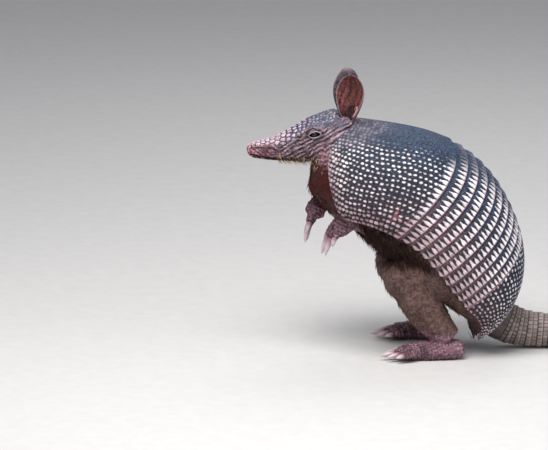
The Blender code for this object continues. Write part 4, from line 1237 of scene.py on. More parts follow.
def relief(points, m):
    """How far the skin stands out at each point, and how bright it is there, as a power of e."""
    x, _, z = points.T
    shade = np.zeros(len(points))
    height = m.cheek * m.broken * (m.fold - 0.55) - 0.3 * m.strokes

    # Neck, in folds across it
    noise = 0.8 * ripple(points, 24, 5) + 0.3 * ripple(points, 7, 6)
    rings = 1 - np.abs(np.sin(np.pi * ((x * 0.72 - z * 0.4) / 4.4 + noise)))
    height += m.neck * (1 - m.cheek) * (0.8 * rings - 0.4)
    shade += m.neck * (1 - m.cheek) * (1.7 * rings - 1.0)

    # Mouth, lips, the crease along the snout, and nostrils
    for side in SIDES.values():
        near, where = path_near(points, mouth_path(side))
        ends = smooth(1.0, 0.92, where)
        groove = hump(near, 1.1) * ends
        lips = hump(near - 2.2, 1.0) * ends
        height += 0.5 * lips - 1.2 * groove
        shade -= 3.0 * groove
        near, where = path_near(points, head_point(*np.array(SNOUT_CREASE).T * ((1,), (side,))))
        crease = hump(near, 0.75) * smooth(1.0, 0.85, where)
        height += 0.3 * hump(near - 1.6, 0.8) * smooth(1.0, 0.85, where) - 0.7 * crease
        shade -= 1.5 * crease
        apart = np.linalg.norm(points - NOSTRIL_AT * (1, side, 1), axis=1)
        pit = smooth(1.7, 0.7, apart)
        height += 0.45 * hump(apart - 2.2, 0.7) - 1.5 * pit
        shade -= 3.0 * pit

    # Pebbles, from the paws up the legs, over the nape and thinner over the belly
    by_eye = np.hypot(x - EYE_SEEN[0], z - EYE_SEEN[2]) + 40 * (m.out < 5)
    rough = 0.7 * m.neck + m.paws + 0.45 * (1 - m.head) + 0.1 * m.scaly
    rough = np.clip(rough, 0, 1) * (1 - m.cheek) * smooth(3.5, 8, by_eye)
    crease, gap = finger_marks(points)
    hands = m.paws * smooth(-70, -80, x)
    height += m.paws * (0.3 + 0.5 * ripple(points, 5.5, 52)) + 0.7 * hands - 0.4 * crease - 0.6 * gap
    shade -= 0.7 * crease + 1.2 * gap
    height += rough * 0.42 * (m.pebble - 0.6)
    shade += rough * 0.9 * (m.pebble - 0.75)
    height += (0.3 * ripple(points, 11, 8) + 0.2 * ripple(points, 5, 9)) * (1 - 0.75 * m.head)
    mottle = ripple(points, 2.6, 12) + 0.6 * ripple(points, 1.5, 13)
    height += 0.14 * mottle * m.head
    shade += 0.44 * mottle * m.head
    return height, shade


def skin_colour(points, normals, m, s):
    """The skin's colour at each point, with painted shade under the jaw, on the throat and in the cheek's
    folds and a painted highlight on the folds' tops, before the painted shade of its relief darkens and
    lightens it.
    """
    x, y, z = points.T
    # Painted shadow: faces that point down under the jaw, taken into the throat mask below.
    below = smooth(0.25, 0.7, -normals[:, 2]) * smooth(204, 196, z)
    # The throat mask: the chest under the head, its own dark red-brown with painted shade, and the underside
    # of the jaw as painted shadow.
    throat = np.maximum(
        smooth(-56, -74, x) * smooth(201, 191, z) * smooth(120, 136, z) * (1 - 0.8 * m.paws),
        smooth(-176, -168, x) * smooth(-60, -76, x) * below)
    under_eye = smooth(17, 10, np.hypot((x + 114) / 1.5, z - 218)) * smooth(6, 12, m.out)
    # Painted shade on the lower side of the head, where the lower jaw lies in shadow.
    jaw_shade = smooth(208, 200, z) * smooth(-150, -136, x) * smooth(-92, -104, x)
    bare = smooth(16, 5, np.hypot((x + 99) / 1.2, z - 204)) * smooth(8, 16, m.out)
    bloom = 0.5 + 0.5 * ripple(points, 7, 21)
    muzzle = smooth(-124, -172, x + 9 * ripple(points, 10, 22)) * m.head
    level = np.column_stack((0.4 * x, 0.6 * y, z + 0.12 * x))
    ahead = m.head * smooth(-126, -142, x)
    brow = smooth(229, 236, z) * smooth(-122, -110, x) * smooth(-78, -88, x)
    colour = layered(
        s.body,
        (s.nape, m.neck * smooth(200, 214, z)),
        (s.face, m.head),
        (s.cheek, smooth(-154, -134, x) * smooth(-70, -84, x) * smooth(182, 194, z) * 0.8),
        (s.fold, 0.5 * under_eye * (0.5 + 0.5 * ripple(points, 6, 23))),
        (s.fold, 0.5 * jaw_shade),
        (s.nose, bare * 0.42),
        (s.nose, np.clip(muzzle * (0.15 + 0.6 * bloom), 0, 1)),
        (s.nose, smooth(-162, -172, x) * (0.3 + 0.4 * bloom)),
        (s.face_fleck, 0.7 * ahead * smooth(0.1, 0.6, ripple(level, 2.9, 24))),
        (s.fold, 0.9 * ahead * smooth(-0.05, 0.4, ripple(level, 2.5, 26))),
        # Painted highlight on the folds' tops, then painted shade in their troughs.
        (s.ridge_highlight, 0.55 * m.cheek * m.broken * smooth(0.7, 1.0, m.fold)),
        (s.fold, 0.95 * m.folds * (1 - 0.4 * bare)),
        (s.leg_scale, 0.4 * m.scaly * m.pebble * (0.6 + 0.4 * ripple(points, 7, 27))),
        (s.brow, 0.75 * brow),
        (s.throat, np.clip(throat, 0, 1) * 0.93),
        # Paws, in their colour darkened with painted shade.
        (s.paw_and_shade, m.paws),
        (s.paw_fleck, 0.6 * m.paws * smooth(0.0, 0.8, ripple(points, 4.6, 53))))
    return colour * (1 + 0.14 * ripple(points, 13, 31)[:, None]) * speckled(len(points), 0.22, 33)


class ARMADILLO_OT_skin(Operator):
    """Model one wrinkled skin over the head, neck, belly and legs"""

    bl_idname = "armadillo.skin"
    bl_label = "Skin"

    def execute(self, context):
        s = context.scene.armadillo_skin
        piece = fine_skin(s)
        mesh = piece.data
        points, normals = read(mesh.vertices, "co") / MM, read(mesh.vertices, "normal")
        marks = skin_marks(points)
        height, shade = relief(points, marks)
        colour = skin_colour(points, normals, marks, s) * np.exp(np.clip(shade, -2.6, 0.55))[:, None]
        points = points + normals * height[:, None]
        for side in SIDES.values():
            points = eye_hollow(points, side)
        points[:, 2] = np.maximum(points[:, 2], 0.1)
        finish_mesh(mesh, points, colour, "wrinkled_skin")
        nodes = ["torso", "neck", "head"]
        for word in SIDES:
            nodes += [f"fore_leg_{word}", f"fore_foot_{word}", f"hind_leg_{word}", f"hind_foot_{word}"]
        settle(piece, nodes)
        return {"FINISHED"}


def eye_hollow(points, side):
    """The skin pushed in behind the eyeball."""
    off = points - EYE_SEEN * (1, side, 1)
    inside = smooth(1.25, 0.85, np.hypot(off[:, 0] / 5.6, off[:, 2] / 3.6)) * (off[:, 1] * side > -6)
    moved = points.copy()
    moved[:, 1] -= side * inside * 5.0
    return moved


def head_plate_middles():
    """Middle, size and a drawn number from 0 to 1 of each plate, in rows across the head."""
    draw = np.random.default_rng(5)
    centres, sizes, kinds = [], [], []
    reach, row = 0.45, 0
    while reach < HEAD_PLATES_TO:
        pitch = np.interp(reach, HEAD_PLATE_AT, HEAD_PLATE_SIZE)
        step = head_point(min(reach + 0.1, 8.99), 0) - head_point(reach, 0)
        per = max(np.linalg.norm(step) * 10, 1.0)
        most = float(blend(HEAD_PLATE_TURN, reach)[0, 1])
        count = max(3, int(round(2 * most * 1.05 * turn_mm(reach)[0] / (pitch * 0.88))))
        for k in range(count + row % 2):
            at = -1 + 2 * (k + 0.5 - 0.5 * (row % 2)) / count
            centres.append(head_point(reach + draw.normal(0, 0.14) * pitch / per,
                                      most * at + draw.normal(0, 0.022)))
            sizes.append(pitch * draw.uniform(0.85, 1.12))
            kinds.append(draw.uniform(0, 1))
        reach += 1.06 * pitch / per
        row += 1
    return np.array(centres), np.array(sizes), np.array(kinds)


def head_plates_piece(s):
    """The shield of small plates over the snout, brow and crown, set into the skin at its edges."""
    rows, columns = LATTICES["head_plates"]
    share = np.linspace(0, 1, rows)[:, None]
    place = HEAD_PLATES_FROM + share * (HEAD_PLATES_TO - HEAD_PLATES_FROM)
    column = np.linspace(-1, 1, columns)
    limit = blend(HEAD_PLATE_TURN, place.ravel())[:, 1:]
    limit = limit + 0.05 * np.sin(place * 9.0 + 1.0) + 0.03 * np.sin(place * 23.0)
    turn = column * limit
    edge = ((1 - np.abs(column)) * limit * turn_mm(place)[:, None]).ravel()
    place = np.broadcast_to(place, turn.shape)
    surface = head_point(place, turn)
    flat = surface.reshape(-1, 3)
    centres, sizes, kinds = head_plate_middles()
    stretched = flat * (0.72, 1, 1) + 0.16 * np.column_stack([ripple(flat, 2.6, k) for k in (61, 62, 63)])
    nearest, first, second = cells(stretched, centres * (0.72, 1, 1))
    size, kind = sizes[nearest], kinds[nearest]
    at_place = place.ravel()
    crown = smooth(5.2, 7.0, at_place + 0.35 * ripple(flat, 6, 71))
    apart = smooth(3.4, 5.0, at_place)
    gap = (second - first) + 0.2 * ripple(flat, 1.6, 68)
    plate = smooth(0.3 + 0.9 * apart, 1.0 + 1.1 * apart, gap)
    spot = smooth(0.40, 0.20, first / size + 0.1 * ripple(flat, 1.7, 69))
    fleck = flecks(flat, 75)
    dome = np.sqrt(np.clip(1 - (first / (0.75 * size)) ** 2, 0, 1))
    ends = spread_flat(np.minimum(share, 1 - share) * 92, turn.shape)
    sunk = smooth(1.5, 0.0, edge) + smooth(1.8, 0.0, ends)
    height = 0.42 + 0.42 * plate * (0.4 + 0.6 * dome) - 0.22 * (1 - plate) - 1.3 * np.minimum(sunk, 1)
    height += 0.05 * ripple(flat, 1.4, 66) * plate
    pale = plate * (1 - crown) * (0.8 + 0.2 * dome) + crown * spot * (0.15 + 0.75 * kind)
    tip = smooth(1.5, 0.5, at_place)
    slate = np.maximum(crown, 0.8 * apart)
    colour = mix(mix(s.plate_gap, s.crown_gap, slate), s.crown_haze, 0.5 * fleck * slate)
    light = mix(s.plate, s.crown_plate, crown)
    light = light * (0.7 + 0.42 * kind[:, None]) * (1 + 0.16 * ripple(flat, 2.2, 76)[:, None])
    gold = crown * smooth(0.83, 0.86, kind) * 0.6
    light = mix(light, s.crown_gold, gold)
    colour = mix(colour, light, np.clip(pale, 0, 1)) * speckled(len(colour), 0.2, 70)
    colour = mix(colour, s.plate_tip, tip * 0.75 * plate)
    side = smooth(5.0, 1.0, edge) * smooth(3.6, 5.0, at_place)
    colour = mix(colour, mix(s.crown_side, s.crown_plate, 0.6 * fleck), 0.8 * side * (1 - pale))
    colour = colour * (1 + 0.10 * ripple(flat, 9, 67)[:, None])
    points = head_point(place, turn, height.reshape(turn.shape))
    lie = np.stack((turn, place), -1) * 0.1
    return new_piece("head_plates", points, lattice(rows, columns), "head_plate", colour, lie)


def turn_mm(place):
    """How many millimetres of skin a turn of one covers, at each place along the head."""
    _, half, width = head_rows(np.ravel(place))
    return (np.linalg.norm(half, axis=1) + width) / 2


class HeadSettings(PropertyGroup):
    """Colours of the head's plates and eyes."""

    plate: colour_property("Plate", "Colour of the plates on the snout", 197, 174, 187)
    plate_gap: colour_property("Plate Gap", "Colour between the snout's plates", 58, 30, 42)
    plate_tip: colour_property("Plate Tip", "Colour of the plates at the snout's tip", 212, 150, 154)
    crown_plate: colour_property("Crown Plate", "Colour of the plates on the crown", 162, 158, 170)
    crown_gap: colour_property("Crown Gap", "Colour between the crown's plates", 42, 52, 76)
    crown_haze: colour_property("Crown Haze", "Colour of the fine flecks on the crown", 112, 112, 130)
    crown_gold: colour_property("Crown Gold", "Colour of the few warm plates on the crown", 168, 132, 88)
    crown_side: colour_property("Crown Side", "Colour along the crown's lower edge", 76, 80, 98)
    lid: colour_property("Lid", "Colour of the eyelids", 166, 146, 160)
    # Painted shade deep in the folds round the eye.
    lid_fold_shade: colour_property("Lid Fold", "Colour deep in the folds round the eye", 44, 31, 32)
    eye_edge: colour_property("Eye Edge", "Colour of the eyeball outside the iris", 46, 36, 40)
    iris: colour_property("Iris", "Colour of the iris", 22, 18, 22)
    pupil: colour_property("Pupil", "Colour of the pupil", 8, 7, 8)
    eye_opening: FloatVectorProperty(
        name="Eye Opening", description="Half length and half height of the eye's opening, in millimetres",
        size=2, default=(5.6, 2.75))


class ARMADILLO_OT_head_plates(Operator):
    """Model the shield of plates on the head"""

    bl_idname = "armadillo.head_plates"
    bl_label = "Head Plates"

    def execute(self, context):
        head_plates_piece(context.scene.armadillo_head)
        return {"FINISHED"}


def skin_tree():
    """The finished skin, for finding the height of its surface."""
    mesh = bpy.data.objects["skin"].data
    polygons = [tuple(polygon.vertices) for polygon in mesh.polygons]
    return BVHTree.FromPolygons(read(mesh.vertices, "co").tolist(), polygons)


def almond(turn, half_length, half_height):
    """The opening of an eye: its front corner lower and sharper than its rear one."""
    across, up = np.cos(turn), np.sin(turn)
    lift = half_height * np.sign(up) * np.abs(up) ** 1.25 * np.where(up > 0, 1.15, 0.85)
    return half_length * across, lift + 0.12 * half_length * across


def lid_piece(word, side, s, tree):
    """Both lids of one eye: a thick rim, a crease round it and folds that run out into the skin."""
    centre = EYE_SEEN * (1, side, 1)
    turns = around(LID_COLUMNS)
    steps = np.concatenate(((-0.16, -0.09, -0.03), np.linspace(0, 1, 34) ** 1.15))
    a_u, a_v = almond(turns, *s.eye_opening)
    o_u = LID_REACH[0] * np.cos(turns) + LID_OFF[0]
    o_v = LID_REACH[1] * np.sin(turns) + LID_OFF[1]
    points = np.empty((len(steps), len(turns), 3))
    shade = np.zeros((len(steps), len(turns)))
    for i, step in enumerate(steps):
        reach = max(step, 0)
        u, v = a_u + (o_u - a_u) * reach, a_v + (o_v - a_v) * reach
        if step < 0:
            u, v = a_u * (1 + 0.25 * step), a_v * (1 + 0.35 * step)
        ball = np.sqrt(np.clip(EYE_RADIUS**2 - (u / 1.02) ** 2 - v**2, 0, None))
        dome = np.sqrt(np.clip(6.25**2 - (u / 1.16) ** 2 - (v / 1.02) ** 2, 0, None))
        skin = np.empty(len(turns))
        for k in range(len(turns)):
            start = Vector(((centre + (u[k], side * 22, v[k])) + TO_FRAME) * MM)
            hit = tree.ray_cast(start, Vector((0, -side, 0)))[0]
            skin[k] = abs(hit[1] / MM - TO_FRAME[1]) - EYE_SEEN[1] if hit else 0.0
        base = np.maximum(skin, 0)
        flesh = np.maximum(head_side(centre[0] + u, centre[2] + v) - EYE_SEEN[1] - 0.35, 0)
        skin = np.where(reach < 0.55, flesh, base)
        height = np.maximum(dome, skin) + 0.6 * hump(dome - skin, 1.0)
        rim = hump(reach - 0.08, 0.07)
        wander = 0.06 * np.sin(2 * turns + 0.6) + 0.03 * np.sin(5 * turns)
        crease = hump(reach - 0.32 - wander, 0.07)
        crease = crease + 0.6 * hump(reach - 0.55 - 1.6 * wander, 0.05) * (np.sin(turns) < 0.3)
        fold = 0.5 + 0.5 * np.cos(2 * np.pi * (reach * 4.1 + 0.5 * np.sin(3 * turns + side)))
        height = height + 0.35 * rim - 0.45 * crease * (0.5 + 0.5 * np.abs(np.sin(turns)))
        height = height + 0.25 * fold * smooth(0.4, 0.6, reach) * smooth(1.0, 0.8, reach)
        height = np.where(reach > 0.86, height - (reach - 0.86) * 7.0, height)
        corner = np.maximum(dome, skin)
        if step <= 0:
            height = corner + 0.2 + step * 14.0
            height = np.maximum(height, np.minimum(ball - 0.7, corner))
        shade[i] = -0.9 * crease + 0.30 * rim + 0.5 * (fold - 0.6) * smooth(0.35, 0.5, reach)
        shade[i] -= 1.8 * smooth(0.01, -0.06, step)
        points[i] = centre + np.column_stack((u, side * height, v))
    far = np.broadcast_to(np.clip(steps, 0, 1)[:, None], shade.shape)
    colour = mix(s.lid, bpy.context.scene.armadillo_skin.cheek, smooth(0.1, 0.5, far).ravel())
    shade = shade + 0.3 * np.sin(turns * 2 - 1.2) * smooth(0.5, 0.1, far) - 0.3 - 0.2 * np.sin(turns)
    fold_mark, strokes = cheek_folds(points.reshape(-1, 3))
    # Painted shade in the troughs of the folds round the eye and in their fine dark strokes.
    dark = smooth(0.2, 0.42, far).ravel() * np.maximum(0.9 * smooth(0.8, 0.25, fold_mark), 0.8 * strokes)
    colour = mix(colour * (1 - 0.22 * smooth(0.2, 0.5, far).ravel()[:, None]), s.lid_fold_shade, dark)
    colour = colour * speckled(far.size, 0.3, 90) * np.exp(np.clip(shade.ravel(), -2.2, 0.4))[:, None]
    lie = np.stack(np.broadcast_arrays(turns, steps[:, None]), -1) * 0.1
    faces = lattice(len(steps), len(turns), wrap_columns=True)
    new_piece(f"lids_{word}", points, faces, "wrinkled_skin", colour, lie)


def head_side(x, z):
    """Half width of the head at a place in its side view."""
    place = np.linspace(0, len(HEAD) - 1, 120)
    turn = np.linspace(0.1, math.pi - 0.1, 60)
    flat = head_point(place[:, None], turn[None, :]).reshape(-1, 3)
    tree = point_tree(flat * (1, 0, 1))
    found = []
    for a, b in zip(x, z):
        near = tree.find_n((a, 0, b), 4)
        weight = np.array([1 / (d + 0.05) for _, _, d in near])
        found.append((weight * flat[[k for _, k, _ in near], 1]).sum() / weight.sum())
    return np.array(found)


def eye_piece(word, side, s):
    """An eyeball with its clear front standing out a little, modelled from a ball."""
    bpy.ops.object.select_all(action="DESELECT")
    bpy.ops.mesh.primitive_uv_sphere_add(segments=48, ring_count=32, radius=EYE_RADIUS * MM)
    eye = bpy.context.object
    eye.name = f"eyeball_{word}"
    bpy.ops.object.mode_set(mode="EDIT")
    bpy.ops.mesh.select_all(action="SELECT")
    bpy.ops.transform.rotate(value=math.pi / 2, orient_axis="X", center_override=(0, 0, 0))
    bpy.ops.object.mode_set(mode="OBJECT")
    points = read(eye.data.vertices, "co") / MM
    front = points[:, 1] * side
    bulge = smooth(EYE_RADIUS * 0.72, EYE_RADIUS, front)
    points[:, 1] += side * 0.45 * bulge
    off = np.hypot(points[:, 0], points[:, 2])
    iris = smooth(3.3, 3.0, off) * (front > 0)
    pupil = smooth(1.9, 1.7, off) * (front > 0)
    colour = mix(mix(s.eye_edge, s.iris, iris), s.pupil, pupil)
    points += EYE_SEEN * (1, side, 1)
    finish_mesh(eye.data, points, colour, "wet_eye")
    settle(eye, [f"eye_{word}"])


class ARMADILLO_OT_eyes(Operator):
    """Model the eyeballs and the lids round them"""

    bl_idname = "armadillo.eyes"
    bl_label = "Eyes"

    def execute(self, context):
        tree = skin_tree()
        for word, side in SIDES.items():
            eye_piece(word, side, context.scene.armadillo_head)
            lid_piece(word, side, context.scene.armadillo_head, tree)
        return {"FINISHED"}


class EarSettings(PropertyGroup):
    """Colours of the ears."""

    back: colour_property("Back", "Colour of the pebbled back", 96, 85, 96)
    cup: colour_property("Cup", "Colour inside the cup", 104, 60, 58)
    # Painted shade deep in the cup and in the ear's opening.
    depth: colour_property("Depth", "Colour deep in the cup", 40, 17, 18)
    rim: colour_property("Rim", "Colour of the cup's edge", 130, 108, 114)
    fold: colour_property("Fold", "Colour of the fold in the cup", 170, 132, 136)


def ear_axes(side):
    """The ways up an ear, out of its cup and across it."""
    up = unit(EAR_LEAN * (1, side, 1))
    facing = EAR_FACING * (1, side, 1)
    facing = unit(facing - up * (facing @ up))
    return up, facing, np.cross(up, facing)


def ear_surface(side, share, turn, inwards):
    """Points of an ear at a share of its height and a turn round its cup, set in from its back."""
    up, facing, aside = ear_axes(side)
    half = EAR_WIDTH / 2 * (0.40 + 0.60 * np.sin(np.pi * np.minimum(share / 1.24, 0.5)))
    half = half * np.sqrt(np.maximum(1 - (np.maximum(share - 0.60, 0) / 0.41) ** 2, 0.02))
    wrap = np.radians(128 - 62 * share) * turn
    way = aside * np.sin(wrap)[..., None] - facing * np.cos(wrap)[..., None] * 0.72
    base = EAR_ROOT * (1, side, 1) + up * (EAR_HEIGHT * share)[..., None]
    reach = np.maximum(half - inwards, 0.35 * half)
    return base + way * reach[..., None]


def ear_piece(word, side, s):
    """One ear: a closed cup with a pebbled back, a thin rolled rim and fine ridges inside."""
    rows, columns = LATTICES["ear"]
    share = np.linspace(0, 1, rows)[:, None] ** 0.94
    share = np.broadcast_to(share, (rows, columns))
    turn = np.broadcast_to(np.linspace(-1, 1, columns)[None, :], (rows, columns))
    flat = ear_surface(side, share, turn, 0).reshape(-1, 3)
    draw = np.random.default_rng(3 + (side > 0))
    spread = draw.permutation(len(flat))[: len(flat) // 34]
    nearest, first, second = cells(flat, flat[spread])
    pebble = smooth(0.05, 0.9, second - first)
    vary = draw.uniform(0, 1, len(spread))[nearest]
    edge = np.minimum(1 - np.abs(turn), (1 - share) * 1.6).ravel()
    edge_mm = edge * 11
    rolled = hump(edge_mm, 1.1)
    out = 0.5 * (pebble - 0.6) * smooth(0.6, 2.0, edge_mm) * smooth(0.0, 0.08, share.ravel()) + 0.3 * rolled
    outer = ear_surface(side, share, turn, -out.reshape(share.shape) + 0.15)
    ridges = 0.22 * np.sin(turn * 16 + 2.4 * np.sin(share * 7)).ravel() * smooth(0.02, 0.2, edge)
    inwards = EAR_THICK - 0.15 + ridges + 0.22 * ripple(flat, 3.0, 14 + side) - 0.35 * rolled
    inner = ear_surface(side, share, turn, inwards.reshape(share.shape))
    ring = np.concatenate((outer, inner[:, ::-1]), 1)
    faces = lattice(rows, 2 * columns, wrap_columns=True)
    top = (rows - 1) * 2 * columns
    for k in range(columns - 1):
        faces.append((k + 1, k, 2 * columns - 1 - k, 2 * columns - 2 - k))
        faces.append((top + k, top + k + 1, top + 2 * columns - 2 - k, top + 2 * columns - 1 - k))
    rear = mix(s.back, np.asarray(s.back) * 0.1, 1 - pebble) * (0.5 + 0.9 * vary[:, None])
    rear = mix(rear, s.rim, 0.7 * rolled)
    # Painted shade: the cup darkens towards its bottom and its middle line, and a dark mark stands at the
    # ear's opening.
    deep = smooth(0.42, 0.05, share.ravel()) * 0.8 + 0.35 * smooth(0.5, 0.0, np.abs(turn).ravel())
    opening_shade = hump(turn.ravel() - 0.1, 0.22) * smooth(0.34, 0.24, share.ravel())
    cup = mix(s.cup, s.depth, np.clip(deep + opening_shade, 0, 1)) * speckled(turn.size, 0.7, 21)
    veins = 0.3 * ripple(flat, 6, 19) + 0.5 * ripple(flat, 2.4, 20) - 1.7 * ridges
    cup = cup * np.exp(np.clip(veins, -1.1, 0.5))[:, None]
    beads = (0.35 + 0.65 * pebble) * (0.6 + 0.5 * vary)
    cup = mix(cup, s.rim, 0.9 * beads * hump(edge_mm, 1.0))
    tint = np.concatenate((rear.reshape(rows, columns, 3), cup.reshape(rows, columns, 3)[:, ::-1]), 1)
    lie = np.stack((np.hstack((turn, 3 - turn)) * 0.05, np.hstack((share, share)) * 0.1), -1)
    new_piece(f"ear_shell_{word}", ring, faces, "ear_skin", tint, lie, [f"ear_{word}"])
    curl = ear_surface(side, FOLD_SHARE, FOLD_TURN, 2.6)
    sizes = np.interp(np.linspace(0, 1, len(curl)), (0, 0.3, 0.7, 1), (1.2, 1.5, 1.3, 0.7))
    points, faces = closed_tube(swept(np.column_stack((curl, sizes)), 20, 5))
    tint = mix(s.fold, s.cup, smooth(-0.5, 0.6, ripple(points, 3, 4)))
    new_piece(f"ear_fold_{word}", points, faces, "ear_skin", tint)


class ARMADILLO_OT_ears(Operator):
    """Model the two cupped ears"""

    bl_idname = "armadillo.ears"
    bl_label = "Ears"

    def execute(self, context):
        for word, side in SIDES.items():
            ear_piece(word, side, context.scene.armadillo_ear)
        return {"FINISHED"}


class ClawSettings(PropertyGroup):
    """Colours of the claws."""

    root: colour_property("Root", "Colour where a claw leaves its toe", 150, 114, 122)
    tip: colour_property("Tip", "Colour towards a claw's tip", 210, 190, 198)


def model_claw():
    """One claw, one unit long and half a unit across its root, drawn out of a ring towards +X."""
    bpy.ops.object.select_all(action="DESELECT")
    bpy.ops.mesh.primitive_circle_add(
        vertices=16, radius=1.0, fill_type="NGON", rotation=(0, math.pi / 2, 0))
    claw = bpy.context.object
    bpy.ops.object.transform_apply(location=False, rotation=True, scale=False)
    bpy.ops.object.mode_set(mode="EDIT")
    bpy.ops.mesh.select_all(action="SELECT")
    steps = np.linspace(0, 1, 9)
    radius = (1 - steps**2.1) ** 0.72 + 0.06
    for k in range(1, len(steps)):
        bpy.ops.mesh.extrude_region_move(TRANSFORM_OT_translate={
            "value": (steps[k] - steps[k - 1], 0, 0)})
        ratio = radius[k] / radius[k - 1]
        bpy.ops.transform.resize(value=(1, ratio, ratio), center_override=(steps[k], 0, 0))
    bpy.ops.mesh.select_all(action="SELECT")
    bpy.ops.mesh.normals_make_consistent(inside=False)
    bpy.ops.object.mode_set(mode="OBJECT")
    use_modifier(claw, "SUBSURF", levels=1, render_levels=1)
    points = read(claw.data.vertices, "co")
    flatten = np.where(points[:, 2] < 0, 0.8, 1.0)
    points[:, 2] *= flatten
    points[:, 1] *= 1 - 0.25 * smooth(0.2, 1.0, points[:, 2])
    faces = [tuple(polygon.vertices) for polygon in claw.data.polygons]
    bpy.data.objects.remove(claw)
    return points, faces


class ARMADILLO_OT_claws(Operator):
    """Model one claw and copy it onto every finger and toe"""

    bl_idname = "armadillo.claws"
    bl_label = "Claws"

    def execute(self, context):
        s = context.scene.armadillo_claw
        shape, faces = model_claw()
        for word, side in SIDES.items():
            for foot, toes, lengths, droop, wide in (
                    ("fore", fore_fingers(word, side), FORE_CLAWS, FORE_CLAW_DROOP, FORE_CLAW_WIDTH),
                    ("hind", hind_toes(side), HIND_CLAWS, HIND_CLAW_DROOP, HIND_CLAW_WIDTH)):
                for k, (_, end, width, way) in enumerate(toes):
                    claw_piece(f"{foot}_{word}_{k + 1}", shape, faces, end, way, lengths[k],
                               droop, wide * width, s)
        return {"FINISHED"}


def claw_piece(name, shape, faces, root, way, length, droop, width, s):
    """A claw of one length and width at the end of a toe, bent down along its length."""
    aside = unit(np.cross(way, (0, 0, 1)))
    up = np.cross(aside, way)
    share, left, high = shape.T
    sink = 1.0
    along = share * (length + sink) - sink
    bend = droop * length * np.clip(along / length, 0, 1) ** 2
    points = (root + way * GAP + way * along[:, None] + aside * (left * (width + 0.55))[:, None]
              + up * (high * (width + 0.55) - bend)[:, None])
    points[:, 2] = np.maximum(points[:, 2], 0.15)
    streak = 0.5 + 0.5 * np.sin(np.arctan2(high, left) * 9 + 2)
    colour = mix(s.root, s.tip, smooth(0.05, 0.6, share)) * (0.76 + 0.24 * streak[:, None])
    new_piece(f"nail_{name}", points, faces, "claw_horn", colour, None, [f"claw_{name}"])


class TailSettings(PropertyGroup):
    """Scales and colours of the tail."""

    around: IntProperty(name="Around", description="Scales round one ring of the tail", default=26, min=8)
    scale: colour_property("Scale", "Colour of the tail's scales", 150, 136, 132)
    gap: colour_property("Gap", "Colour between the tail's scales", 62, 50, 50)
    ring: colour_property("Ring", "Colour of the rings' pale rear edges", 180, 160, 150)


def tail_rings():
    """Where each ring of the tail starts along its joints."""
    at, length, starts = TAIL_RINGS_FROM, TAIL_RING_LENGTH, []
    while at < TAIL_RINGS_TO:
        starts.append(at)
        at += length
        length *= TAIL_RING_SHORTENS
    return np.array(starts + [at])


def tail_scales(s, place, starts, turn):
    """For each row how far through its ring it is, whether it is ringed and how it flares, and for
    each point how much it is scale and a number drawn for its scale."""
    ring = np.clip(np.searchsorted(starts, place, side="right") - 1, -1, len(starts) - 2)
    within = np.where(ring >= 0, (place - starts[ring]) / (starts[ring + 1] - starts[ring]), 0)
    ringed = (place >= starts[0]) & (place < starts[-1])
    tip_rows = (place - starts[-1]) / (place[-1] - starts[-1]) * 16
    within = np.where(place >= starts[-1], tip_rows % 1, within)
    index = np.where(place >= starts[-1], 100 + np.floor(tip_rows), ring)
    flare = np.where(ringed, np.interp(within, (0, 0.84, 0.97, 1), (-0.55, 0.5, 0.35, -0.45)), 0)
    flare = np.where(place >= starts[-1], np.interp(within, (0, 0.85, 1), (-0.1, 0.2, -0.1)), flare)
    scale_row = np.floor(np.clip(within, 0, 0.999) * 2)
    in_row = within * 2 - scale_row
    per_ring = np.where(place > starts[-1], 14, s.around)[:, None]
    shift = (np.where(ringed, scale_row * 0.5 + index * 0.37, index * 0.5))[:, None]
    at = turn / (2 * np.pi) * per_ring + shift
    cell = at - np.floor(at)
    number = (np.floor(at) + index[:, None] * 37 + scale_row[:, None] * 13).astype(int)
    vary = np.random.default_rng(8).uniform(0, 1, 4096)[number % 4096]
    side_gap = np.minimum(cell, 1 - cell)
    end_gap = np.where(ringed, np.minimum(in_row, 1 - in_row), np.minimum(within, 1 - within))[:, None]
    scale = smooth(0.02, 0.16, side_gap) * smooth(0.02, 0.22, end_gap)
    return within, ringed, flare, scale, vary


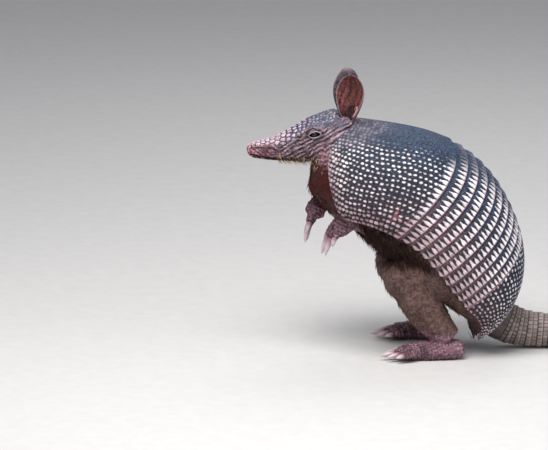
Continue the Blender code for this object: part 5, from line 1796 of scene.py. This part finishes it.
def tail_piece(s):
    """The tail: rings of two rows of scales that overlap like a telescope, then its small-scaled tip."""
    starts = tail_rings()
    rows, columns = LATTICES["tail"]
    last = len(TAIL) - 1.0
    root_rows, ring_rows = 23, 399
    place = np.concatenate((
        np.linspace(0, starts[0], root_rows + 1)[:-1],
        np.linspace(starts[0], starts[-1], ring_rows + 1)[:-1],
        np.linspace(starts[-1], last, rows - root_rows - ring_rows)))
    row = blend(numbered(TAIL), place)
    middle, radius = row[:, 1:4], row[:, 4]
    ahead = unit(np.gradient(middle, axis=0))
    aside = unit(np.cross(ahead, (0, 0, 1.0)))
    up = np.cross(aside, ahead)
    turn = around(columns)
    within, ringed, flare, scale, vary = tail_scales(s, place, starts, turn)
    bare = smooth(starts[0] - 0.05, starts[0] + 0.02, place)[:, None]
    size = np.interp(place, (0, last), (1.0, 0.25))[:, None]
    height = flare[:, None] + (0.55 * (scale - 0.7) * size + 0.16 * (vary - 0.5)) * bare
    r = np.maximum(radius[:, None] + height - 0.25, 0.35)
    way = aside[:, None] * np.cos(turn)[:, None] + up[:, None] * np.sin(turn)[:, None]
    points = middle[:, None] + way * r[..., None]
    points[..., 2] = np.maximum(points[..., 2], 0.15)
    colour = mix(s.gap, s.scale, scale * bare + (1 - bare) * 0.3)
    colour = colour * (0.72 + 0.5 * vary[..., None])
    colour = mix(colour, s.ring, (0.5 * smooth(0.80, 0.92, within) * ringed)[:, None])
    lie = np.stack(np.broadcast_arrays(turn * 0.02, place[:, None] * 0.1), -1)
    flat, faces = closed_tube(points)
    new_piece("ringed_tail", flat, faces, "horny_plate", colour, lie,
              ["tail_base", "tail_middle", "tail_tip"])


class ARMADILLO_OT_tail(Operator):
    """Model the ringed tail with its rows of scales"""

    bl_idname = "armadillo.tail"
    bl_label = "Tail"

    def execute(self, context):
        tail_piece(context.scene.armadillo_tail)
        return {"FINISHED"}


class HairSettings(PropertyGroup):
    """Thickness, reach and colours of the hair."""

    thickness: FloatProperty(
        name="Thickness", description="Thickness of a tuft at its root, in millimetres",
        default=0.36, min=0.1)
    amount: FloatProperty(
        name="Amount", description="How many tufts grow, against the usual number", default=1.0, min=0.1)
    dark: colour_property("Dark", "Colour of the belly's hair", 48, 31, 25)
    light: colour_property("Light", "Colour of the legs' hair", 124, 102, 84)
    gold: colour_property("Gold", "Colour of the chin's bristles", 204, 176, 128)
    throat: colour_property("Throat", "Colour of the throat's hair", 84, 24, 15)


def skin_atlas(points):
    """A place on a flat unwrap of the skin for each point, in cells for trunk, head and limbs."""
    along, across, _ = trunk_share(points)
    flat = np.column_stack(((across + 2) / 4, (along + 24) / 354)) * 0.47 + 0.01
    centre, _, _ = head_rows(np.interp(points[:, 0], HEAD[:, 0], np.arange(len(HEAD))))
    turn = np.arctan2(points[:, 1], points[:, 2] - centre[:, 2]) / (2 * np.pi) + 0.5
    place = np.clip((points[:, 0] + 180) / 110, 0, 1)
    at_head = (points[:, 0] < -82) & (points[:, 2] > 188)
    flat[at_head] = (np.column_stack((turn, place)) * 0.47 + (0.51, 0.01))[at_head]
    at_limb = (along > 330) | ((points[:, 2] < 150) & ~at_head & (np.abs(across) > 0.9))
    nearest = np.full(len(points), np.inf)
    for k, path in enumerate(LIMB_PATHS):
        for side in SIDES.values():
            line = path * (1, side, 1)
            apart, where = path_near(points, line)
            steps = np.linspace(0, 1, len(line))
            x, y = (points[:, j] - np.interp(where, steps, line[:, j]) for j in (0, 1))
            angle = np.arctan2(y, x) / (2 * np.pi) + 0.5
            cell = (0.01 + 0.165 * (2 * k + (side > 0)), 0.51)
            use = at_limb & (apart < nearest)
            flat[use] = (np.column_stack((angle * 0.15, where * 0.47)) + cell)[use]
            nearest = np.minimum(nearest, apart)
    return flat


def tuft_piece(name, roots, ways, lengths, sag, colour, s, seed):
    """Thin three-sided tufts as one mesh, each tapered to its tip and bent by its own weight."""
    count = len(roots)
    draw = np.random.default_rng(seed)
    width = s.thickness * draw.uniform(0.7, 1.3, count) * np.clip(lengths / 8, 0.45, 1.0)
    aside = unit(np.cross(ways, draw.normal(size=(count, 3))))
    other = np.cross(ways, aside)
    points = np.empty((count, 7, 3))
    maps = np.empty((count, 7, 2))
    flat = skin_atlas(roots)
    start = roots - ways * 0.8
    for ring, (reach, wide) in enumerate(((0.0, 1.0), (0.5, 0.75))):
        middle = start + ways * (lengths * reach)[:, None] + sag * (lengths * reach**2)[:, None]
        for k in range(3):
            turn = 2 * np.pi * k / 3
            offset = aside * math.cos(turn) + other * math.sin(turn)
            points[:, ring * 3 + k] = middle + offset * (width * wide)[:, None]
            maps[:, ring * 3 + k] = flat + (0.0013 * math.cos(turn), 0.003 * (reach - 0.5))
    points[:, 6] = start + ways * lengths[:, None] + sag * lengths[:, None]
    maps[:, 6] = flat + (0, 0.0015)
    points[..., 2] = np.maximum(points[..., 2], 0.3)
    pattern = [(0, 1, 4, 3), (1, 2, 5, 4), (2, 0, 3, 5), (3, 4, 6), (4, 5, 6), (5, 3, 6), (2, 1, 0)]
    faces = [[7 * n + k for k in face] for n in range(count) for face in pattern]
    shade = np.array((0.75, 0.75, 0.75, 1.0, 1.0, 1.0, 1.25))[None, :, None]
    tint = colour[:, None, :] * shade * draw.uniform(0.75, 1.25, (count, 1, 1))
    new_piece(name, points, faces, "hair", tint, maps, map_name="OFBake")


def sampled_skin():
    """Middle, normal, area and tint of every face of the skin."""
    mesh = bpy.data.objects["skin"].data
    first = np.array([polygon.vertices[0] for polygon in mesh.polygons])
    tint = read(mesh.attributes["Tint"].data, "color", 4)
    return (read(mesh.polygons, "center") / MM - TO_FRAME, read(mesh.polygons, "normal"),
            read(mesh.polygons, "area", 1) / MM**2, tint[first, :3])


def laid(normals, lie, rise):
    """Directions that follow the lie of the coat over the skin and stand out by a slope."""
    flat = lie - normals * (lie * normals).sum(1, keepdims=True)
    return unit(unit(flat) + normals * np.asarray(rise)[..., None])


class ARMADILLO_OT_coat(Operator):
    """Grow the sparse coat: belly, legs, throat, chin and the edges of the shell"""

    bl_idname = "armadillo.coat"
    bl_label = "Coat"

    def execute(self, context):
        s = context.scene.armadillo_hair
        middle, normal, area, tint = sampled_skin()
        _, across, height = trunk_share(middle)
        x, y, z = middle.T
        out = np.abs(y)
        draw = np.random.default_rng(17)
        clear = (np.abs(across) > 1.0) | (height > 1.5) | (height < -25)
        feet = z < FEET_TOP
        head = (x < HEAD_END) & (z > 190)
        thighs = (x > -60) & (z < 96) & (out > 12) & clear & ~feet
        belly = (x > -72) & clear & ~thighs & ~feet & (z < 175) & (np.abs(across) > 1.02) & (out < 70)
        off_hands = from_hands(middle) > 20
        belly &= off_hands
        throat = (x < -50) & (x > -124) & (z < 198) & (z > 128) & ~belly & clear & off_hands
        chin = head & (z < 204) & (x > -150) & (x < -104) & (normal[:, 2] < 0.1)
        cheek = head & (z >= 204) & (x > -132) & (out > 12) & (np.hypot(x + 113, z - 226) > 10)
        places = {
            "coat_belly": (belly & (x < 5), s.dark),
            "coat_legs": (thighs | (belly & (x >= 5)), s.light),
            "coat_throat": (throat, s.throat),
            "coat_chin": (chin, s.gold),
            "coat_cheek": (cheek, s.gold),
            "coat_feet": (feet & (normal[:, 2] > 0.2), s.light),
        }
        for seed, (name, (where, colour)) in enumerate(places.items()):
            thick, reach, lie, rise = COATS[name]
            pick = np.nonzero(where)[0]
            weight = area[pick] / area[pick].sum()
            count = int(area[pick].sum() * thick * s.amount)
            chosen = draw.choice(pick, count, p=weight)
            lean = np.asarray(lie) + draw.normal(0, 0.22, (count, 3))
            ways = laid(normal[chosen], lean, draw.uniform(*rise, count))
            lengths = draw.uniform(*reach, count)
            roots = middle[chosen] + draw.normal(0, 0.3, (count, 3))
            shade = mix(colour, tint[chosen], 0.3)
            tuft_piece(name, roots, ways, lengths, np.array((0.05, 0, -0.22)), shade, s, 200 + seed)
        self.shell_hair(s, draw)
        return {"FINISHED"}

    def shell_hair(self, s, draw):
        """Single hairs from between the bands and a fringe from under the shell's lower edges."""
        roots, ways, lengths = [], [], []
        count = HAIRS_BETWEEN_BANDS
        for place in range(1, BAND_COUNT + 2):
            c = draw.uniform(0.45, 1.0, count) ** 0.6 * np.where(draw.uniform(0, 1, count) < 0.5, -1, 1)
            line = line_at(place - 0.04, c)
            here = trunk(line, c, -1.4)
            ahead = unit(trunk(line + 6, c, 1.0) - here)
            roots.append(here)
            ways.append(unit(ahead + draw.normal(0, 0.12, (count, 3))))
            lengths.append(draw.uniform(0.7, 1.3, count) * 3.2)
        count = HAIRS_OF_FRINGE
        place = draw.uniform(0.12, 10.6, count)
        c = np.where(np.arange(count) % 2, 1, -1) * draw.uniform(0.975, 1.03, count)
        line = line_at(place, c)
        here = trunk(line, c, draw.uniform(-3.6, -2.4, count))
        down = unit(trunk(line + 2.0, c * 1.06, -2.0) - here)
        roots.append(here)
        ways.append(unit(down + (0.1, 0, -0.35) + draw.normal(0, 0.14, (count, 3))))
        lengths.append(draw.uniform(3, 7, count))
        roots, ways, lengths = (np.concatenate(rows) for rows in (roots, ways, lengths))
        colour = mix(s.light, s.dark, draw.uniform(0, 0.8, len(roots)))
        tuft_piece("coat_shell", roots, ways, lengths, np.array((0, 0, -0.12)), colour, s, 300)


class StageSettings(PropertyGroup):
    """Camera, light and floor."""

    azimuth: FloatProperty(
        name="Azimuth", description="Turn of the camera round the animal", subtype="ANGLE",
        default=math.radians(-5))
    elevation: FloatProperty(
        name="Elevation", description="Height of the camera over the horizon", subtype="ANGLE",
        default=math.radians(12))
    distance: FloatProperty(
        name="Distance", description="Distance of the camera", subtype="DISTANCE", default=6.0)
    lens: FloatProperty(name="Lens", description="Focal length, in millimetres", default=394.0)
    key: FloatProperty(name="Key", description="Power of the main light", subtype="POWER", default=22.0)
    fill: FloatProperty(name="Fill", description="Power of the soft fill", subtype="POWER", default=5.5)
    floor: FloatVectorProperty(
        name="Floor", description="Colour of the floor", subtype="COLOR", default=(0.62, 0.61, 0.60))


def look_from(aim, azimuth, elevation, distance):
    """A matrix that stands at a distance and looks at the aim."""
    back = Vector((math.sin(azimuth) * math.cos(elevation), -math.cos(azimuth) * math.cos(elevation),
                   math.sin(elevation)))
    turn = (-back).to_track_quat("-Z", "Y").to_matrix().to_4x4()
    return Matrix.Translation(Vector(aim) + back * distance) @ turn


def area_light(name, aim, azimuth, elevation, distance, size, colour, power):
    """A square lamp that shines on the aim."""
    lamp = bpy.data.lights.new(name, "AREA")
    lamp.size = size
    lamp.energy = power
    lamp.color = colour
    made = bpy.data.objects.new(name, lamp)
    made.matrix_world = look_from(aim, math.radians(azimuth), math.radians(elevation), distance)
    bpy.context.scene.collection.objects.link(made)


class ARMADILLO_OT_stage(Operator):
    """Set the camera at the photo's view, with soft light over a plain pale floor"""

    bl_idname = "armadillo.stage"
    bl_label = "Stage"

    def execute(self, context):
        s = context.scene.armadillo_stage
        aim = (AIM + TO_FRAME) * MM
        camera = bpy.data.cameras.new("camera")
        camera.lens = s.lens
        camera.sensor_width = 36.0
        camera.clip_end = 60.0
        made = bpy.data.objects.new("camera", camera)
        made.matrix_world = look_from(aim, s.azimuth, s.elevation, s.distance)
        context.scene.collection.objects.link(made)
        context.scene.camera = made
        middle = Vector((0, 0, 0.13))
        for name, power in (("key", s.key), ("fill", s.fill), ("rim", s.fill * 1.2)):
            area_light(name, middle, *LIGHTS[name], power)
        world = bpy.data.worlds.new("studio")
        world.use_nodes = True
        world.node_tree.nodes["Background"].inputs["Color"].default_value = (0.9, 0.92, 1.0, 1)
        world.node_tree.nodes["Background"].inputs["Strength"].default_value = 0.36
        context.scene.world = world
        context.scene.view_settings.view_transform = "Standard"
        bpy.ops.object.select_all(action="DESELECT")
        bpy.ops.mesh.primitive_plane_add(size=14, location=(0, 0, 0))
        floor = context.object
        floor.name = "floor"
        floor.data.materials.append(floor_finish(s.floor))
        return {"FINISHED"}


def floor_finish(colour):
    """A plain matt finish with a faint grain."""
    made = bpy.data.materials.new("pale_floor")
    made.use_nodes = True
    tree = made.node_tree
    shader = tree.nodes["Principled BSDF"]
    shader.inputs["Roughness"].default_value = 0.85
    shader.inputs["Specular IOR Level"].default_value = 0.15
    value = add_node(tree, "ShaderNodeMapRange", {
        "Value": grain(tree, 60.0), "From Min": 0.3, "From Max": 0.7, "To Min": 0.97, "To Max": 1.03})
    tone = add_node(tree, "ShaderNodeHueSaturation", {
        "Color": (*colour, 1), "Value": value.outputs["Result"]})
    tree.links.new(tone.outputs["Color"], shader.inputs["Base Color"])
    return made


class ARMADILLO_PT_panel(Panel):
    """The armadillo's pieces and their settings"""

    bl_label = "Armadillo"
    bl_idname = "ARMADILLO_PT_panel"
    bl_space_type = "VIEW_3D"
    bl_region_type = "UI"
    bl_category = "Armadillo"

    def draw(self, context):
        for kind in OPERATORS:
            self.layout.operator(kind.bl_idname)
        for key, kind in GROUPS.items():
            box = self.layout.box()
            box.label(text=kind.__name__)
            for name in kind.__annotations__:
                box.prop(getattr(context.scene, key), name)


GROUPS = {
    "armadillo_shell": ShellSettings,
    "armadillo_skin": SkinSettings,
    "armadillo_head": HeadSettings,
    "armadillo_ear": EarSettings,
    "armadillo_claw": ClawSettings,
    "armadillo_tail": TailSettings,
    "armadillo_hair": HairSettings,
    "armadillo_stage": StageSettings,
}
OPERATORS = (
    ARMADILLO_OT_shields,
    ARMADILLO_OT_bands,
    ARMADILLO_OT_skin,
    ARMADILLO_OT_head_plates,
    ARMADILLO_OT_eyes,
    ARMADILLO_OT_ears,
    ARMADILLO_OT_claws,
    ARMADILLO_OT_tail,
    ARMADILLO_OT_coat,
    ARMADILLO_OT_stage,
)


def register():
    for kind in (*GROUPS.values(), *OPERATORS, ARMADILLO_PT_panel):
        bpy.utils.register_class(kind)
    for key, kind in GROUPS.items():
        setattr(bpy.types.Scene, key, PointerProperty(type=kind))


def unregister():
    for key in GROUPS:
        delattr(bpy.types.Scene, key)
    for kind in reversed((*GROUPS.values(), *OPERATORS, ARMADILLO_PT_panel)):
        bpy.utils.unregister_class(kind)


def main():
    """Builds everything as a user of the panel would."""
    register()
    for kind in OPERATORS:
        group, action = kind.bl_idname.split(".")
        getattr(getattr(bpy.ops, group), action)()


if __name__ == "__main__":
    main()
